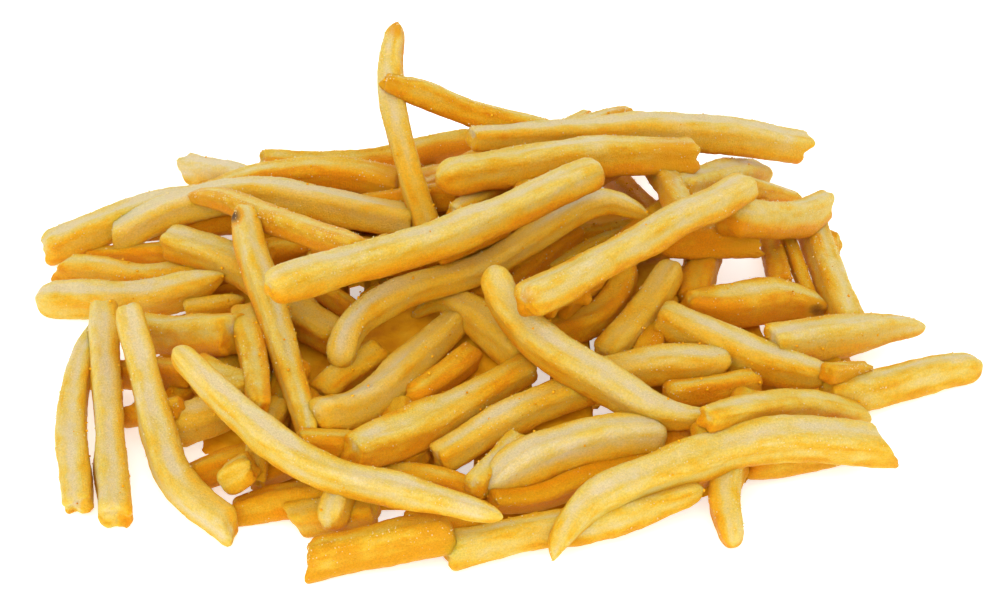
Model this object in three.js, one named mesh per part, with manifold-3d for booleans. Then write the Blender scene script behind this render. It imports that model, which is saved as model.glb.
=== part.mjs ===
import * as THREE from 'three';
import { mergeVertices } from 'three/addons/utils/BufferGeometryUtils.js';
import Module from 'manifold-3d';

// A heap of thin-cut french fries lying on a flat surface, as one solid.
// Millimetres, +Z up, the surface at z = 0, the front of the heap towards -Y.
//
// Each fry that shows from the front is laid out by where it shows: "across" and
// "up" on a sheet that stands through the middle of the heap and faces an eye
// above the front. All then settle along the lines of sight onto the rounded form
// of the heap, and push each other apart where they cross: a fry that comes later
// in the table lies in front of those before it.

// ---- driving sizes ----
const EYE_RISE = 35;          // degrees above the surface the eye looks down at
const EYE_AWAY = 700;         // eye to the middle of the sheet
const SHEET_RISE = 15.1;      // height of the sheet's middle over the surface
const HEAP = { high: 24, wide: 97, deep: 80 };   // the rounded form that the fries lie along
const CORE = { high: 11, y: 3, wide: 86, deep: 68 };    // the low mound inside
const CORE_RINGS = 5;         // rings and spokes of its faces
const CORE_SPOKES = 28;
const CORE_RIM = 0.97;        // where it ends, by its size
const SINK = 0.9;             // how deep a fry lies in that mound
const FAR_EDGE = 77;          // how far back the heap reaches
const SPAN_STEPS = 24;        // places along a fry where its rest is worked out
const FINE_STEPS = 16;        // steps from one station of a fry to the next
const RADIUS_UP = 0.5;        // a fry's radius by the width that shows, where it runs up the sheet
const RADIUS_ACROSS = 0.4;    // and where it runs across it
const END_RADIUS = 0.15;      // its radius right at the ends, by its width
const SIGHT_ROUNDS = 4;       // of finding where a line of sight meets the core
const REST = 0.76;            // how far two touching fries keep apart, by their radii
const ROUNDS = 400;           // of settling
const PULL = 0.05;            // how much of the way to the heap's form a fry goes in a round, at first
const PULL_FOR = 0.8;         // the share of the rounds in which that dies down
const PUSH_RATE = 1.3;        // how much of the mean push on it a fry gives way in a round
const LEAN = 0.6;             // most that a fry turns away from or towards the eye, off that form
const STAND = 0.35;           // the turn of a fry that stands up
const SWAY = 8;               // most that it turns, end to middle, as it comes to rest
const TURN_COST = 0.06;       // what a turn counts against a lower middle
const SLOPES = 20;            // turns tried each way as it comes to rest
const SAME_COST = 1e-9;       // costs nearer than this count as one
const LONGEST = 80;           // no fry turns so far that it would be longer
const CORNER = 0.34;          // the cut-off corner of a fry, by its half thickness
const CORNER_SHOWS = 0.62;    // how much of that corner narrows the width that shows
const ROLL = 0.7;             // how differently the fries lie turned about their length, in radians
const BEND_STEP = 0.35;       // a bend or taper this large gets one more ring, four times as large two
const MOST_RINGS = 7;
const ALONG_STEP = 0.03;      // the share of a fry's length over which its direction is taken
const SLANT = 0.76;           // lengthening of a slanted end, by its half width
const SLIGHT_SLANT = 0.4;
const DOME = { tip: 0.55, shoulder: 0.96, deep: 0.4, least: 0.02, most: 0.1 };   // a rounded end
const HIDES_BY = 0.5;         // how much nearer a fry that hides another is, by its radius
const HIDES_WITHIN = 0.95;    // and how far from its middle line it hides things
const GAP_ROOM = 0.8;         // what a gap is wider all round under the fries
const GAP_CLEAR = 4;          // how clear of it the middle of a low fry keeps
const LOW_FRIES = 40;         // most fries inside the heap, which the rest lie on
const LOW_TRIES = 20000;      // places tried for them
const LOW_X = [-88, 176];     // for each of these sizes: the least, and how much more it may be
const LOW_Y = [-66, 144];
const LOW_LONG = [40, 30];
const LOW_THICK = [5.6, 1.2];
const LOW_BOW = [-2.5, 5];
const LOW_SWAY = 0.15;        // most that one tilts, by its length
const LOW_ROOM = 0.5;         // how near it may come to those that show, by their radii
const LOW_TOP = 0.8;          // the height over its middle that counts as its top, by its radius
const LOW_BARE = 5;           // places along it whose top may show between those
const LOW_SHOWS = 1.16;       // the width it would show, by its thickness
const SKY = 60;               // the height to which a gap is cut open, and how far under the surface
const UNDER = 5;
const BLOCK = { wide: 400, high: 200 };   // a box that takes in all that is over the surface
const SMOOTH = 0.1;           // detail finer than this is left out where fries meet
const SEED = 20617;
const CENTRE = [0.05, 3.2];    // the middle of the footprint, which becomes the origin

// name, ends (start, end), then stations: across, up, width
// ends: c cut square, d rounded, L / R cut on a slant with the left or right edge
// longer (l / r: a slighter slant), as seen going from the start to the end
const FRIES = [
  ['tip-a', 'cc', -6, 20, 6, 8, 31.5, 5, 17.6, 38.1, 2.6],
  ['tip-b', 'cc', -8, 24, 6.4, 8, 32, 5.4, 20.5, 36.9, 4, 26, 38.3, 3.6],
  ['back-a', 'cc', -48, 27, 7.5, -27, 27.4, 7.8, -15, 30, 7.7, -5, 31.6, 7.4],
  ['back-b', 'lc', -62.5, 27.2, 6.8, -45, 22, 7],
  ['back-c', 'cc', -61, 20.3, 6.8, -50, 24.5, 7.3, -40, 26, 7.5, -30, 26, 7.5, -20, 23.8, 7],
  ['left-a', 'cc', -91.2, 10.3, 7.4, -80, 14.6, 8, -70, 18.5, 8.1, -60, 20.6, 7.8],
  ['left-b', 'cc', -82.5, 8.8, 5, -58, 10.3, 6],
  ['left-c', 'Rc', -88, 7.2, 6, -80, 6.4, 7, -72, 4.7, 7, -60, 6, 6.5, -46, 9, 6.5],
  ['arch', 'cc', -77, 12.9, 7.4, -65, 19, 8.2, -50, 21.5, 8.3, -38, 20, 8.2, -17, 16, 7.5],
  ['top-end-a', 'cd', 36, 23, 6, 44, 25, 7.5, 52.2, 25.9, 7.4],
  ['top-end-b', 'cd', 47, 23.6, 5, 59.8, 20.8, 2.6],
  ['shade-a', 'cc', 21, 27, 6, 31, 16.5, 6],
  ['shade-b', 'cc', 30.5, 28, 6, 37.5, 17.5, 6],
  ['shade-c', 'cc', -14.5, 27, 4, -13, 21, 4],
  ['upright', 'cds', -14.3, 13, 6.2, -18, 25, 6, -21.2, 38, 5.9, -21.6, 47, 5.4, -20.7, 53, 4.4,
    -20.4, 56.1, 2.8],
  ['leaner', 'cc', -23.2, 44.4, 4, -15, 41.5, 5.6, -6, 38, 6.2, 10, 34, 6],
  ['long-top', 'cl', -6, 32.7, 5, 10, 33.8, 6.4, 28, 34.5, 8, 45, 33.4, 8.6, 60, 30.9, 7.4],
  ['second-top', 'dc', -12.8, 25, 7.6, 0, 26.8, 8, 15, 28.9, 8, 38.8, 29.4, 8],
  ['sliver-a', 'cc', -9, 17.5, 5, -2, 21.8, 5, 6, 23.5, 5],
  ['mid-a', 'cc', -47, 9.5, 7, -30, 13, 7],
  ['brown-tip', 'dc', -62.3, 21.4, 2.2, -57, 20.8, 5, -47, 17.3, 6, -36, 13, 5.8, -28, 10.6, 5.4],
  ['mid-b', 'cc', -37, 3.5, 4.5, -29, -2, 4.5],
  ['mid-c', 'cc', -66, 13, 8.8, -50, 6, 8.6, -40, -2, 8.4, -32, -7.5, 8],
  ['low-a', 'cc', -66.3, -20, 5, -60, -14.5, 5],
  ['low-b', 'cc', -65.8, -25.3, 8, -57, -22, 8.2, -44, -16.5, 7],
  ['low-c', 'cc', -60, -14, 8, -50, -18, 8],
  ['low-d', 'cc', -46.8, -26, 6.5, -45, -21, 6.5, -41, -12, 6.4],
  ['low-e', 'cc', -51, -1.5, 6, -49.5, -9.5, 5.9, -48.3, -21, 4.6],
  ['cross-left', 'dc', -52, 19, 6, -47, 3, 6.6, -42.8, -10, 6, -38.6, -26, 4.6],
  ['low-f', 'cc', -74.5, -22.7, 4.8, -64, -21, 5],
  ['low-g', 'cc', -84.5, -14.6, 6, -62, -14, 6],
  ['block', 'cc', -72, -6.2, 8.4, -53.2, -6, 8.4],
  ['stub', 'cd', -63, -1.6, 4.8, -55, -0.4, 4.4, -51.2, 0.8, 2.6],
  ['low-h', 'cc', -50, -36, 5, -41, -31.5, 5],
  ['low-i', 'cc', -49.8, -35.5, 5, -48.3, -28, 5, -44, -20, 5],
  ['knob', 'cd', -49.5, -32.5, 6.4, -55.6, -36.6, 6.4],
  ['shade-d', 'cc', -36.3, -18.5, 6.5, -32, -14.5, 6.5, -24, -9.5, 6.5],
  ['shade-e', 'cc', -18, -20, 6, -6, -10, 6],
  ['long-mid', 'cc', -46.8, 3.3, 7.4, -38, 5.6, 8, -15, 11.7, 8.2, 2, 18.8, 8, 20, 26.5, 6.8],
  ['shade-f', 'cc', 13, 12.8, 4.5, 29.5, 15.3, 4],
  ['shade-g', 'cc', 0, 3, 6.5, 15, 13.5, 7],
  ['sliver-b', 'cc', -27.5, 1, 2.6, -20, 6, 2.6],
  ['wave', 'dd', -33, -12.7, 6, -29.5, -4.5, 6.8, -20, 1.8, 6.8, -4, 6.9, 6.4, 12, 17, 6.2, 21, 20, 5.8,
    29.6, 17.2, 3],
  ['sliver-c', 'cc', 10, 7, 3.6, 30, 16, 3.6],
  ['shade-h', 'cc', 41.5, 11, 7.4, 38.5, 0, 7.4],
  ['shade-i', 'cc', 32, 12, 6.5, 40, 12.3, 7.6, 51, 13, 8],
  ['shade-j', 'cc', 53.5, 15, 5, 56.5, 3, 5],
  ['right-a', 'cc', 58, 15, 5, 67.6, 12, 5],
  ['right-b', 'cc', 56.5, 14, 3.6, 59.5, 8, 3.6, 62.5, 0, 3.5],
  ['right-c', 'cc', 61.5, 18, 7.2, 65, 8, 7.3, 69.6, -5, 7.2],
  ['right-d', 'cL', 46, 17.7, 8, 54, 16.3, 8.3, 60, 17.3, 7.8, 65.2, 20.2, 6.2],
  ['slope', 'cc', 5, -0.5, 7.4, 20, 7.8, 7.4, 36, 16.3, 7.4, 50, 23.8, 7],
  ['bend', 'cc', 25, 7, 5, 23, 0.5, 6.4, 18, -4, 6.8, 8, -6, 7],
  ['curl', 'dc', -17.5, -2.9, 2, -12, 0, 4, -8, -1, 7, -3, -4.5, 8, 5, -11, 8],
  ['mid-d', 'cc', -37.2, -22.6, 7.3, -30, -21, 7.5, -20, -14.5, 7.8, -9, -4, 6.6],
  ['mid-e', 'cc', -41, -27.5, 6, -27, -29.5, 6],
  ['mid-f', 'cc', -29.5, -30, 8, -22, -27.3, 9, -13, -23.3, 8.4, -4, -18.2, 7.4, 6, -12.8, 6.5],
  ['shade-k', 'cc', 33.5, 0, 6, 29, -11, 6],
  ['standing', 'dc', 35.2, 7.7, 6, 30, 0, 6.5, 24, -7.5, 6.5, 21, -11, 6.2],
  ['brown-end', 'cc', 37.5, 0, 6.5, 46, -0.8, 9.2, 55, 0.5, 9.3, 63.6, -0.6, 6],
  ['sliver-d', 'cc', 58, -9.5, 3.5, 67.6, -12.4, 3.5],
  ['spear', 'cd', 54, -8.5, 8, 62, -7.3, 9, 70, -6.4, 8.6, 77, -5.2, 6.2, 84.9, -4.9, 3],
  ['right-e', 'cd', 32, -2.2, 8, 42, -7, 9.4, 52, -11.8, 9.2, 60, -14.2, 7, 67, -15.2, 3.4],
  ['shade-l', 'cc', 33, -19, 6, 51.5, -16, 6],
  ['scrap', 'cc', 65, -13.8, 4.6, 73, -13.8, 3.6],
  ['far-right', 'cd', 65, -18.8, 7.2, 75, -17.6, 7.6, 85, -14.9, 7.8, 90, -13.6, 7.2, 96.3, -13.1, 6],
  ['long-low', 'cc', -12.5, -31, 6.5, 0, -24.2, 7.4, 12, -18.5, 7.7, 28, -13, 8.1, 45, -11.8, 8.3],
  ['diagonal', 'dd', -2, 7.3, 6.2, 1, -0.5, 7.2, 9, -9, 8.8, 22, -16.7, 9, 34, -22.3, 6.6, 45.3, -23.4, 2.6],
  ['pointer', 'cd', 46.5, -31, 7.8, 45.2, -35, 7.4, 44.7, -40, 6.7, 45.8, -45, 5, 46.1, -48.6, 4],
  ['front-a', 'cd', -11, -49.8, 7.4, 8, -45.6, 7.6, 16, -44.4, 7.4, 24, -42.1, 7.2, 40.4, -37, 5],
  ['front-b', 'cc', -53.5, -41.7, 5.6, -42, -39.2, 7.4, -25, -39, 7.5],
  ['front-c', 'Lc', -41.6, -43.3, 7.4, -25, -41.8, 7.6],
  ['end-on', 'cd', -31, -34, 6.5, -34.4, -45, 6.4],
  ['front-d', 'rc', -38.2, -51.8, 8.4, -25, -48.6, 8.8, -9.5, -45.6, 7.8],
  ['low-j', 'cc', -24, -33.5, 5, -12, -35.5, 5, -3, -38.8, 5],
  ['low-k', 'cc', -6, -36.8, 5, 3, -27.5, 5],
  ['low-l', 'cc', -1.8, -39.7, 5, 8, -38.6, 5.6, 22, -33, 5.6, 38, -26.5, 5.5],
  ['right-f', 'cR', 41, -23.2, 5, 50, -21.2, 6.8, 62, -20.3, 7, 73.2, -22.9, 5],
  ['round-nose', 'dc', -2.4, -37.4, 5.6, 3, -33.1, 8.5, 10, -30, 9.3, 22, -27, 9.6, 32.2, -26.9, 8],
  ['long-front', 'dR', 10.5, -51.6, 1.6, 12.3, -46.2, 4.6, 18, -39.8, 7, 30, -35, 8, 50, -28.2, 8.8,
    68, -27.4, 9, 77.2, -28.2, 8],
  ['left-d', 'dd', -92.8, 1.4, 7.4, -85, 0.7, 8.8, -72, 0.4, 8.8, -63, 2.6, 8, -55.4, 5.6, 3],
  ['leg-c', 'cR', -73.9, -1, 5.4, -71.5, -14, 6.2, -65.5, -34.5, 7, -54, -45.8, 6.6],
  ['leg-a', 'cc', -79.5, -5.5, 5.6, -83.4, -10, 5.8, -85.2, -17, 5.8, -85.7, -26, 5.9, -84.2, -40.8, 6.3],
  ['leg-b', 'cc', -79.5, -0.5, 6, -79, -14, 6.1, -76.7, -43, 6.6],
  ['long-left', 'dd', -65.3, -9.2, 5, -53, -21.6, 6.8, -38, -32.6, 6.9, -20, -37.7, 6.6, -8, -40.4, 4.8,
    0.4, -42.7, 2.4],
];

// how much further from the eye a fry is tucked in, where it would lie loose
const TUCK = { 'shade-e': 2.5, 'low-l': 2.5, 'round-nose': 1 };

// where the surface shows between the fries: across, up, half width, half height
const GAPS = [
  [-28.6, 1.8, 1.2, 1.2], [20.3, -8.4, 1.8, 2], [8, -15, 1.8, 1.4], [21, -22, 1.6, 0.8],
  [-7.5, -33.2, 1.2, 1.6], [48, 6.5, 5, 3], [35.3, 9.2, 1, 1], [55.5, -5, 3, 1.2],
];

// ---- small vector tools ----
const add = (a, b, k = 1) => [a[0] + b[0] * k, a[1] + b[1] * k, a[2] + b[2] * k];
const sub = (a, b) => [a[0] - b[0], a[1] - b[1], a[2] - b[2]];
const dot = (a, b) => a[0] * b[0] + a[1] * b[1] + a[2] * b[2];
const cross = (a, b) => [a[1] * b[2] - a[2] * b[1], a[2] * b[0] - a[0] * b[2], a[0] * b[1] - a[1] * b[0]];
const size = (a) => Math.sqrt(dot(a, a));
const unit = (a) => a.map((v) => v / size(a));
const clamp = (v, a, b) => Math.min(b, Math.max(a, v));

const RISE = EYE_RISE * Math.PI / 180;
const MIDDLE = [0, 0, SHEET_RISE];
const AHEAD = [0, Math.cos(RISE), -Math.sin(RISE)];
const UPWARD = [0, Math.sin(RISE), Math.cos(RISE)];
const EYE = [0, -EYE_AWAY * Math.cos(RISE), SHEET_RISE + EYE_AWAY * Math.sin(RISE)];
const sheet = (a, u) => [a, MIDDLE[1] + u * UPWARD[1], MIDDLE[2] + u * UPWARD[2]];

function random32(seed) {
  let s = seed >>> 0;
  return () => {
    s = (s + 0x6D2B79F5) >>> 0;
    let t = s;
    t = Math.imul(t ^ (t >>> 15), t | 1);
    t ^= t + Math.imul(t ^ (t >>> 7), t | 61);
    return ((t ^ (t >>> 14)) >>> 0) / 4294967296;
  };
}

// ---- a smooth line through stations, at equal steps ----
function smooth(stations, steps) {
  const last = stations.length - 1;
  const before = stations[0].map((v, k) => 2 * v - stations[1][k]);
  const after = stations[last].map((v, k) => 2 * v - stations[last - 1][k]);
  const run = [before, ...stations, after];
  const fine = [];
  for (let i = 1; i < run.length - 2; i++) {
    const [a, b, c, d] = [run[i - 1], run[i], run[i + 1], run[i + 2]];
    for (let k = 0; k < FINE_STEPS; k++) {
      const t = k / FINE_STEPS;
      const start = 2 * t ** 3 - 3 * t ** 2 + 1;
      const leave = t ** 3 - 2 * t ** 2 + t;
      const reach = t ** 3 - t ** 2;
      fine.push(b.map((_, j) => {
        const m0 = (c[j] - a[j]) / 2;
        const m1 = (d[j] - b[j]) / 2;
        return start * b[j] + leave * m0 + (1 - start) * c[j] + reach * m1;
      }));
    }
  }
  fine.push(stations[last]);
  const sums = [0];
  for (let i = 1; i < fine.length; i++) {
    sums.push(sums[i - 1] + Math.hypot(fine[i][0] - fine[i - 1][0], fine[i][1] - fine[i - 1][1]));
  }
  const out = [];
  for (let i = 0, j = 0; i <= steps; i++) {
    const s = sums[sums.length - 1] * i / steps;
    while (j < sums.length - 2 && sums[j + 1] < s) j++;
    const f = clamp((s - sums[j]) / (sums[j + 1] - sums[j]), 0, 1);
    out.push([...fine[j].map((v, k) => v + (fine[j + 1][k] - v) * f), s]);
  }
  return out;                                   // [across, up, width, distance along]
}

const coreHeight = (x, y) => {
  const q = (x / CORE.wide) ** 2 + ((y - CORE.y) / CORE.deep) ** 2;
  return q < 1 ? CORE.high * (1 - q) : 0;
};
const restHeight = (x, y) => Math.max(0, coreHeight(x, y) - SINK);

// how far along a line of sight the rounded form of the heap is met, or passed nearest
function heapAway(ray) {
  const [a, b, c] = [HEAP.wide, HEAP.deep, HEAP.high];
  const two = (ray[0] / a) ** 2 + (ray[1] / b) ** 2;
  const one = 2 * (EYE[0] * ray[0] / a ** 2 + EYE[1] * ray[1] / b ** 2) + ray[2] / c;
  const none = (EYE[0] / a) ** 2 + (EYE[1] / b) ** 2 + EYE[2] / c - 1;
  return (-one - Math.sqrt(Math.max(0, one * one - 4 * two * none))) / (2 * two);
}

// each fry that shows, as places along it: where it is on the sheet, the line of
// sight, how far that may run before the surface or the far edge, and its radius
function bandOf(row) {
  const stations = [];
  for (let k = 2; k < row.length; k += 3) stations.push(row.slice(k, k + 3));
  const line = smooth(stations, SPAN_STEPS);
  const first = line[0];
  const last = line[SPAN_STEPS];
  const flat = Math.abs(last[0] - first[0]);
  const part = RADIUS_UP - (RADIUS_UP - RADIUS_ACROSS) * flat / Math.hypot(flat, last[1] - first[1]);
  const places = line.map(([a, u, width, along], k) => {
    const ray = unit(sub(sheet(a, u), EYE));
    const r = Math.min(width * part, Math.min(along, last[3] - along) + width * END_RADIUS);
    let stop = Math.min((r - EYE[2]) / ray[2], (FAR_EDGE - r - EYE[1]) / ray[1]);
    for (let round = 0; round < SIGHT_ROUNDS; round++) {    // on the core, where it meets that first
      const p = add(EYE, ray, stop);
      stop = Math.min(stop, (r + restHeight(p[0], p[1]) - EYE[2]) / ray[2]);
    }
    return { a, u, width, r, ray, stop, t: 2 * k / SPAN_STEPS - 1, form: heapAway(ray) };
  });
  const total = (value) => places.reduce((sum, p) => sum + value(p), 0);
  const mid = total((p) => p.form) / places.length;
  const swing = total((p) => p.form * p.t) / total((p) => p.t ** 2);
  const stands = row[1].endsWith('s');
  const most = (stands ? 0 : LEAN) * last[3] / 2;
  const turn = stands ? STAND * last[3] / 2 : swing;
  const long = last[3] < LONGEST ? Math.sqrt(LONGEST ** 2 - last[3] ** 2) / 2 : 0;
  const turns = [Math.max(turn - most, -long), Math.min(turn + most, long)];
  return { name: row[0], ends: row[1], places, aim: [mid, turn], turns, away: [mid, clamp(turn, ...turns)] };
}

// the straight line over all the floors that is lowest in the middle (where t is 0)
function restOn(ts, floors, level, sway, [least, most] = [-Infinity, Infinity]) {
  let best = null;
  for (let k = -SLOPES; k <= SLOPES; k++) {
    const slope = clamp(level + sway * k / SLOPES, -most, -least);
    const high = Math.max(...ts.map((t, i) => floors[i] - slope * t));
    const cost = high + Math.abs(slope - level) * TURN_COST;
    if (!best || cost < best.cost - SAME_COST) best = { cost, high, slope };
  }
  return best;
}

// how far along the lines of sight each fry lies, in the middle and towards its end
function settle(bands) {
  const crossings = [];
  bands.forEach((back, i) => bands.forEach((front, j) => {
    if (j <= i) return;
    for (const p of back.places) for (const q of front.places) {
      const gap = (p.r + q.r) * REST;
      const off = (p.a - q.a) ** 2 + (p.u - q.u) ** 2;
      if (off < gap * gap) crossings.push([i, p.t, j, q.t, Math.sqrt(gap * gap - off)]);
    }
  }));
  for (let round = 0; round < ROUNDS; round++) {
    const pull = PULL * Math.max(0, 1 - round / (PULL_FOR * ROUNDS));
    const pushes = bands.map(() => [0, 0, 0]);
    const push = (k, t, by) => {
      const share = by / (1 + 3 * t * t);
      pushes[k][0] += share;
      pushes[k][1] += 3 * t * share;
      pushes[k][2] += 1;
    };
    for (const [i, ti, j, tj, apart] of crossings) {
      const back = bands[i].away;
      const front = bands[j].away;
      const short = apart - (back[0] + back[1] * ti - front[0] - front[1] * tj);
      if (short <= 0) continue;
      push(i, ti, short / 2);
      push(j, tj, -short / 2);
    }
    bands.forEach((band, k) => {
      for (const p of band.places) {
        const over = band.away[0] + band.away[1] * p.t - p.stop;
        if (over > 0) push(k, p.t, -over);
      }
      const [mid, turn, count] = pushes[k];
      const rate = count ? PUSH_RATE / count : 0;
      band.away[0] += rate * mid + pull * (band.aim[0] - band.away[0]);
      band.away[1] += rate * turn + pull * (band.aim[1] - band.away[1]);
      band.away[1] = clamp(band.away[1], ...band.turns);
    });
  }
  bands.forEach((band, k) => {                  // from the back on, each goes on until it rests
    const nearest = band.places.map((p) => -p.stop);
    for (const [i, ti, j, tj, apart] of crossings) {
      const at = Math.round((tj + 1) / 2 * SPAN_STEPS);
      if (j === k) nearest[at] = Math.max(nearest[at], apart - bands[i].away[0] - bands[i].away[1] * ti);
    }
    const run = restOn(band.places.map((p) => p.t), nearest, -band.away[1], SWAY, band.turns);
    band.away = [-run.high + (TUCK[band.name] ?? 0), -run.slope];
  });
  return bands.map((band) => ({
    name: band.name,
    ends: band.ends,
    points: band.places.map((p) => ({
      at: add(EYE, p.ray, Math.min(p.stop, band.away[0] + band.away[1] * p.t)), width: p.width, r: p.r,
    })),
  }));
}

// something nearer to the eye hides a point
function hidden(p, balls) {
  const to = sub(p, EYE);
  const far = size(to);
  const ray = unit(to);
  return balls.some((b) => {
    const c = sub(b, EYE);
    const nearest = dot(c, ray);
    return nearest < far - b[3] * HIDES_BY && dot(c, c) - nearest * nearest < (b[3] * HIDES_WITHIN) ** 2;
  });
}

// where a point shows on the sheet
function shown(p) {
  const ray = sub(p, EYE);
  const reach = EYE_AWAY / dot(ray, AHEAD);
  const q = sub(add(EYE, ray, reach), MIDDLE);
  return [q[0], dot(q, UPWARD)];
}

const inGap = ([a, u]) => GAPS.some(([ga, gu, halfWide, halfHigh]) =>
  Math.abs(a - ga) < halfWide + GAP_CLEAR && Math.abs(u - gu) < halfHigh + GAP_CLEAR);

// fries inside the heap: dropped onto the core, under those that show
function fillInside(visible, pick) {
  const above = visible.flatMap((fry) => fry.points.map((p) => [...p.at, p.r]));
  const below = [];
  const made = [];
  const ts = Array.from({ length: SPAN_STEPS + 1 }, (_, i) => 2 * i / SPAN_STEPS - 1);
  const draw = ([least, more]) => least + more * pick();
  for (let tries = 0; tries < LOW_TRIES && made.length < LOW_FRIES; tries++) {
    const [x, y, turn] = [draw(LOW_X), draw(LOW_Y), Math.PI * pick()];
    const [long, thick, bow] = [draw(LOW_LONG), draw(LOW_THICK), draw(LOW_BOW)];
    const r = thick / 2;
    const line = ts.map((t) => {
      const along = long * t / 2;
      const side = bow * (1 - t * t);
      return [
        x + Math.cos(turn) * along - Math.sin(turn) * side,
        y + Math.sin(turn) * along + Math.cos(turn) * side,
      ];
    });
    const floors = line.map(([px, py]) => {
      let z = restHeight(px, py) + r;
      for (const b of below) {
        const off = (b[0] - px) ** 2 + (b[1] - py) ** 2;
        const gap = (r + b[3]) * REST;
        if (off < gap * gap) z = Math.max(z, b[2] + Math.sqrt(gap * gap - off));
      }
      return z;
    });
    const rest = restOn(ts, floors, 0, LOW_SWAY * long);
    const spots = line.map(([px, py], i) => [px, py, rest.high + rest.slope * ts[i]]);
    const clear = spots.every((p) => above.every((b) => {
      const d = sub(p, b);
      return dot(d, d) > ((r + b[3]) * LOW_ROOM) ** 2;
    }));
    if (!clear || spots.some((p) => inGap(shown(p)) || p[1] > FAR_EDGE - r)) continue;
    const bare = spots.map((p) => !hidden(add(p, [0, 0, 1], r * LOW_TOP), above));
    if (bare[0] || bare[SPAN_STEPS] || bare.filter(Boolean).length > LOW_BARE) continue;
    for (const p of spots) below.push([...p, r]);
    const points = spots.map((at) => ({ at, width: thick * LOW_SHOWS, r }));
    made.push({ name: 'inner-' + (made.length + 1), ends: 'cc', points });
  }
  return made;
}

// ---- solids ----
const wasm = await Module();
wasm.setup();
const solid = (verts, tris) => new wasm.Manifold(new wasm.Mesh({
  numProp: 3,
  vertProperties: new Float32Array(verts),
  triVerts: new Uint32Array(tris),
}));

// how many rings a fry's bends and tapers ask for
function ringsOf({ points }) {
  const n = points.length - 1;
  const chord = sub(points[n].at, points[0].at);
  let off = 0;                                  // most that it leaves the straight or the even
  points.forEach((p, i) => {
    const d = sub(p.at, add(points[0].at, chord, i / n));
    const even = points[0].width + (points[n].width - points[0].width) * i / n;
    off = Math.max(off, size(d), Math.abs(p.width - even));
  });
  return clamp(Math.round(Math.sqrt(off / BEND_STEP)), 1, MOST_RINGS);
}

// places along a fry for its rings, with their share of its width
function ringStops(fry) {
  const n = fry.points.length - 1;
  const rings = ringsOf(fry);
  const stops = Array.from({ length: rings + 1 }, (_, k) => ({ t: k / rings, scale: 1 }));
  const chord = sub(fry.points[n].at, fry.points[0].at);
  const deep = (width) => clamp(DOME.deep * width / size(chord), DOME.least, DOME.most);
  if (fry.ends[0] === 'd') {
    stops[0].scale = DOME.tip;
    stops.splice(1, 0, { t: deep(fry.points[0].width), scale: DOME.shoulder });
  }
  if (fry.ends[1] === 'd') {
    stops[stops.length - 1].scale = DOME.tip;
    stops.splice(stops.length - 1, 0, { t: 1 - deep(fry.points[n].width), scale: DOME.shoulder });
  }
  return stops;
}

function frySolid(fry, pick) {
  const n = fry.points.length - 1;
  const plain = fry.name.startsWith('inner');
  const sides = plain ? 4 : 8;
  const roll = (pick() - 0.5) * ROLL;
  const stops = ringStops(fry);
  const blend = (t, of) => {
    const f = clamp(t, 0, 1) * n;
    const i = Math.min(n - 1, Math.floor(f));
    return of(fry.points[i], fry.points[i + 1], f - i);
  };
  const at = (t) => blend(t, (a, b, f) => add(a.at, sub(b.at, a.at), f));
  const widthAt = (t) => blend(t, (a, b, f) => a.width + (b.width - a.width) * f);
  const slants = { L: SLANT, l: SLIGHT_SLANT, R: -SLANT, r: -SLIGHT_SLANT };
  const verts = [];
  const tris = [];
  stops.forEach((stop, k) => {
    const c = at(stop.t);
    const T = unit(sub(at(stop.t + ALONG_STEP), at(stop.t - ALONG_STEP)));
    const flatUp = unit(add([0, 0, 1], T, -T[2]));
    const side = cross(T, flatUp);
    const U = add(flatUp.map((v) => v * Math.cos(roll)), side, Math.sin(roll));
    const W = cross(T, U);
    const view = unit(sub(c, EYE));
    const left = unit(cross(view, T)).map((v) => -v);
    const lost = CORNER * CORNER_SHOWS;
    const shows = (1 - lost) * (Math.abs(dot(left, U)) + Math.abs(dot(left, W))) + lost;
    const h = widthAt(stop.t) / 2 / shows * stop.scale;
    const cut = h * (1 - CORNER);
    const code = k === 0 ? fry.ends[0] : k === stops.length - 1 ? fry.ends[1] : 'c';
    const slant = slants[code] ?? 0;
    const corners = plain ? [[h, h], [-h, h], [-h, -h], [h, -h]]
      : [[h, cut], [cut, h], [-cut, h], [-h, cut], [-h, -cut], [-cut, -h], [cut, -h], [h, -cut]];
    for (const [p, q] of corners) {
      const off = add(U.map((v) => v * p), W, q);
      const push = (k === 0 ? -1 : 1) * slant * dot(off, left);
      verts.push(...add(add(c, off), T, push));
    }
    if (k) for (let j = 0; j < sides; j++) {
      const a = (k - 1) * sides + j;
      const b = (k - 1) * sides + (j + 1) % sides;
      tris.push(a, b, b + sides, a, b + sides, a + sides);
    }
  });
  const e = (stops.length - 1) * sides;
  for (let j = 1; j < sides - 1; j++) tris.push(0, j + 1, j, e, e + j, e + j + 1);
  return solid(verts, tris);
}

const closed = (geometry) => {
  geometry.deleteAttribute('normal');
  geometry.deleteAttribute('uv');
  const merged = mergeVertices(geometry);
  return solid(merged.attributes.position.array, merged.index.array);
};

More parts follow.
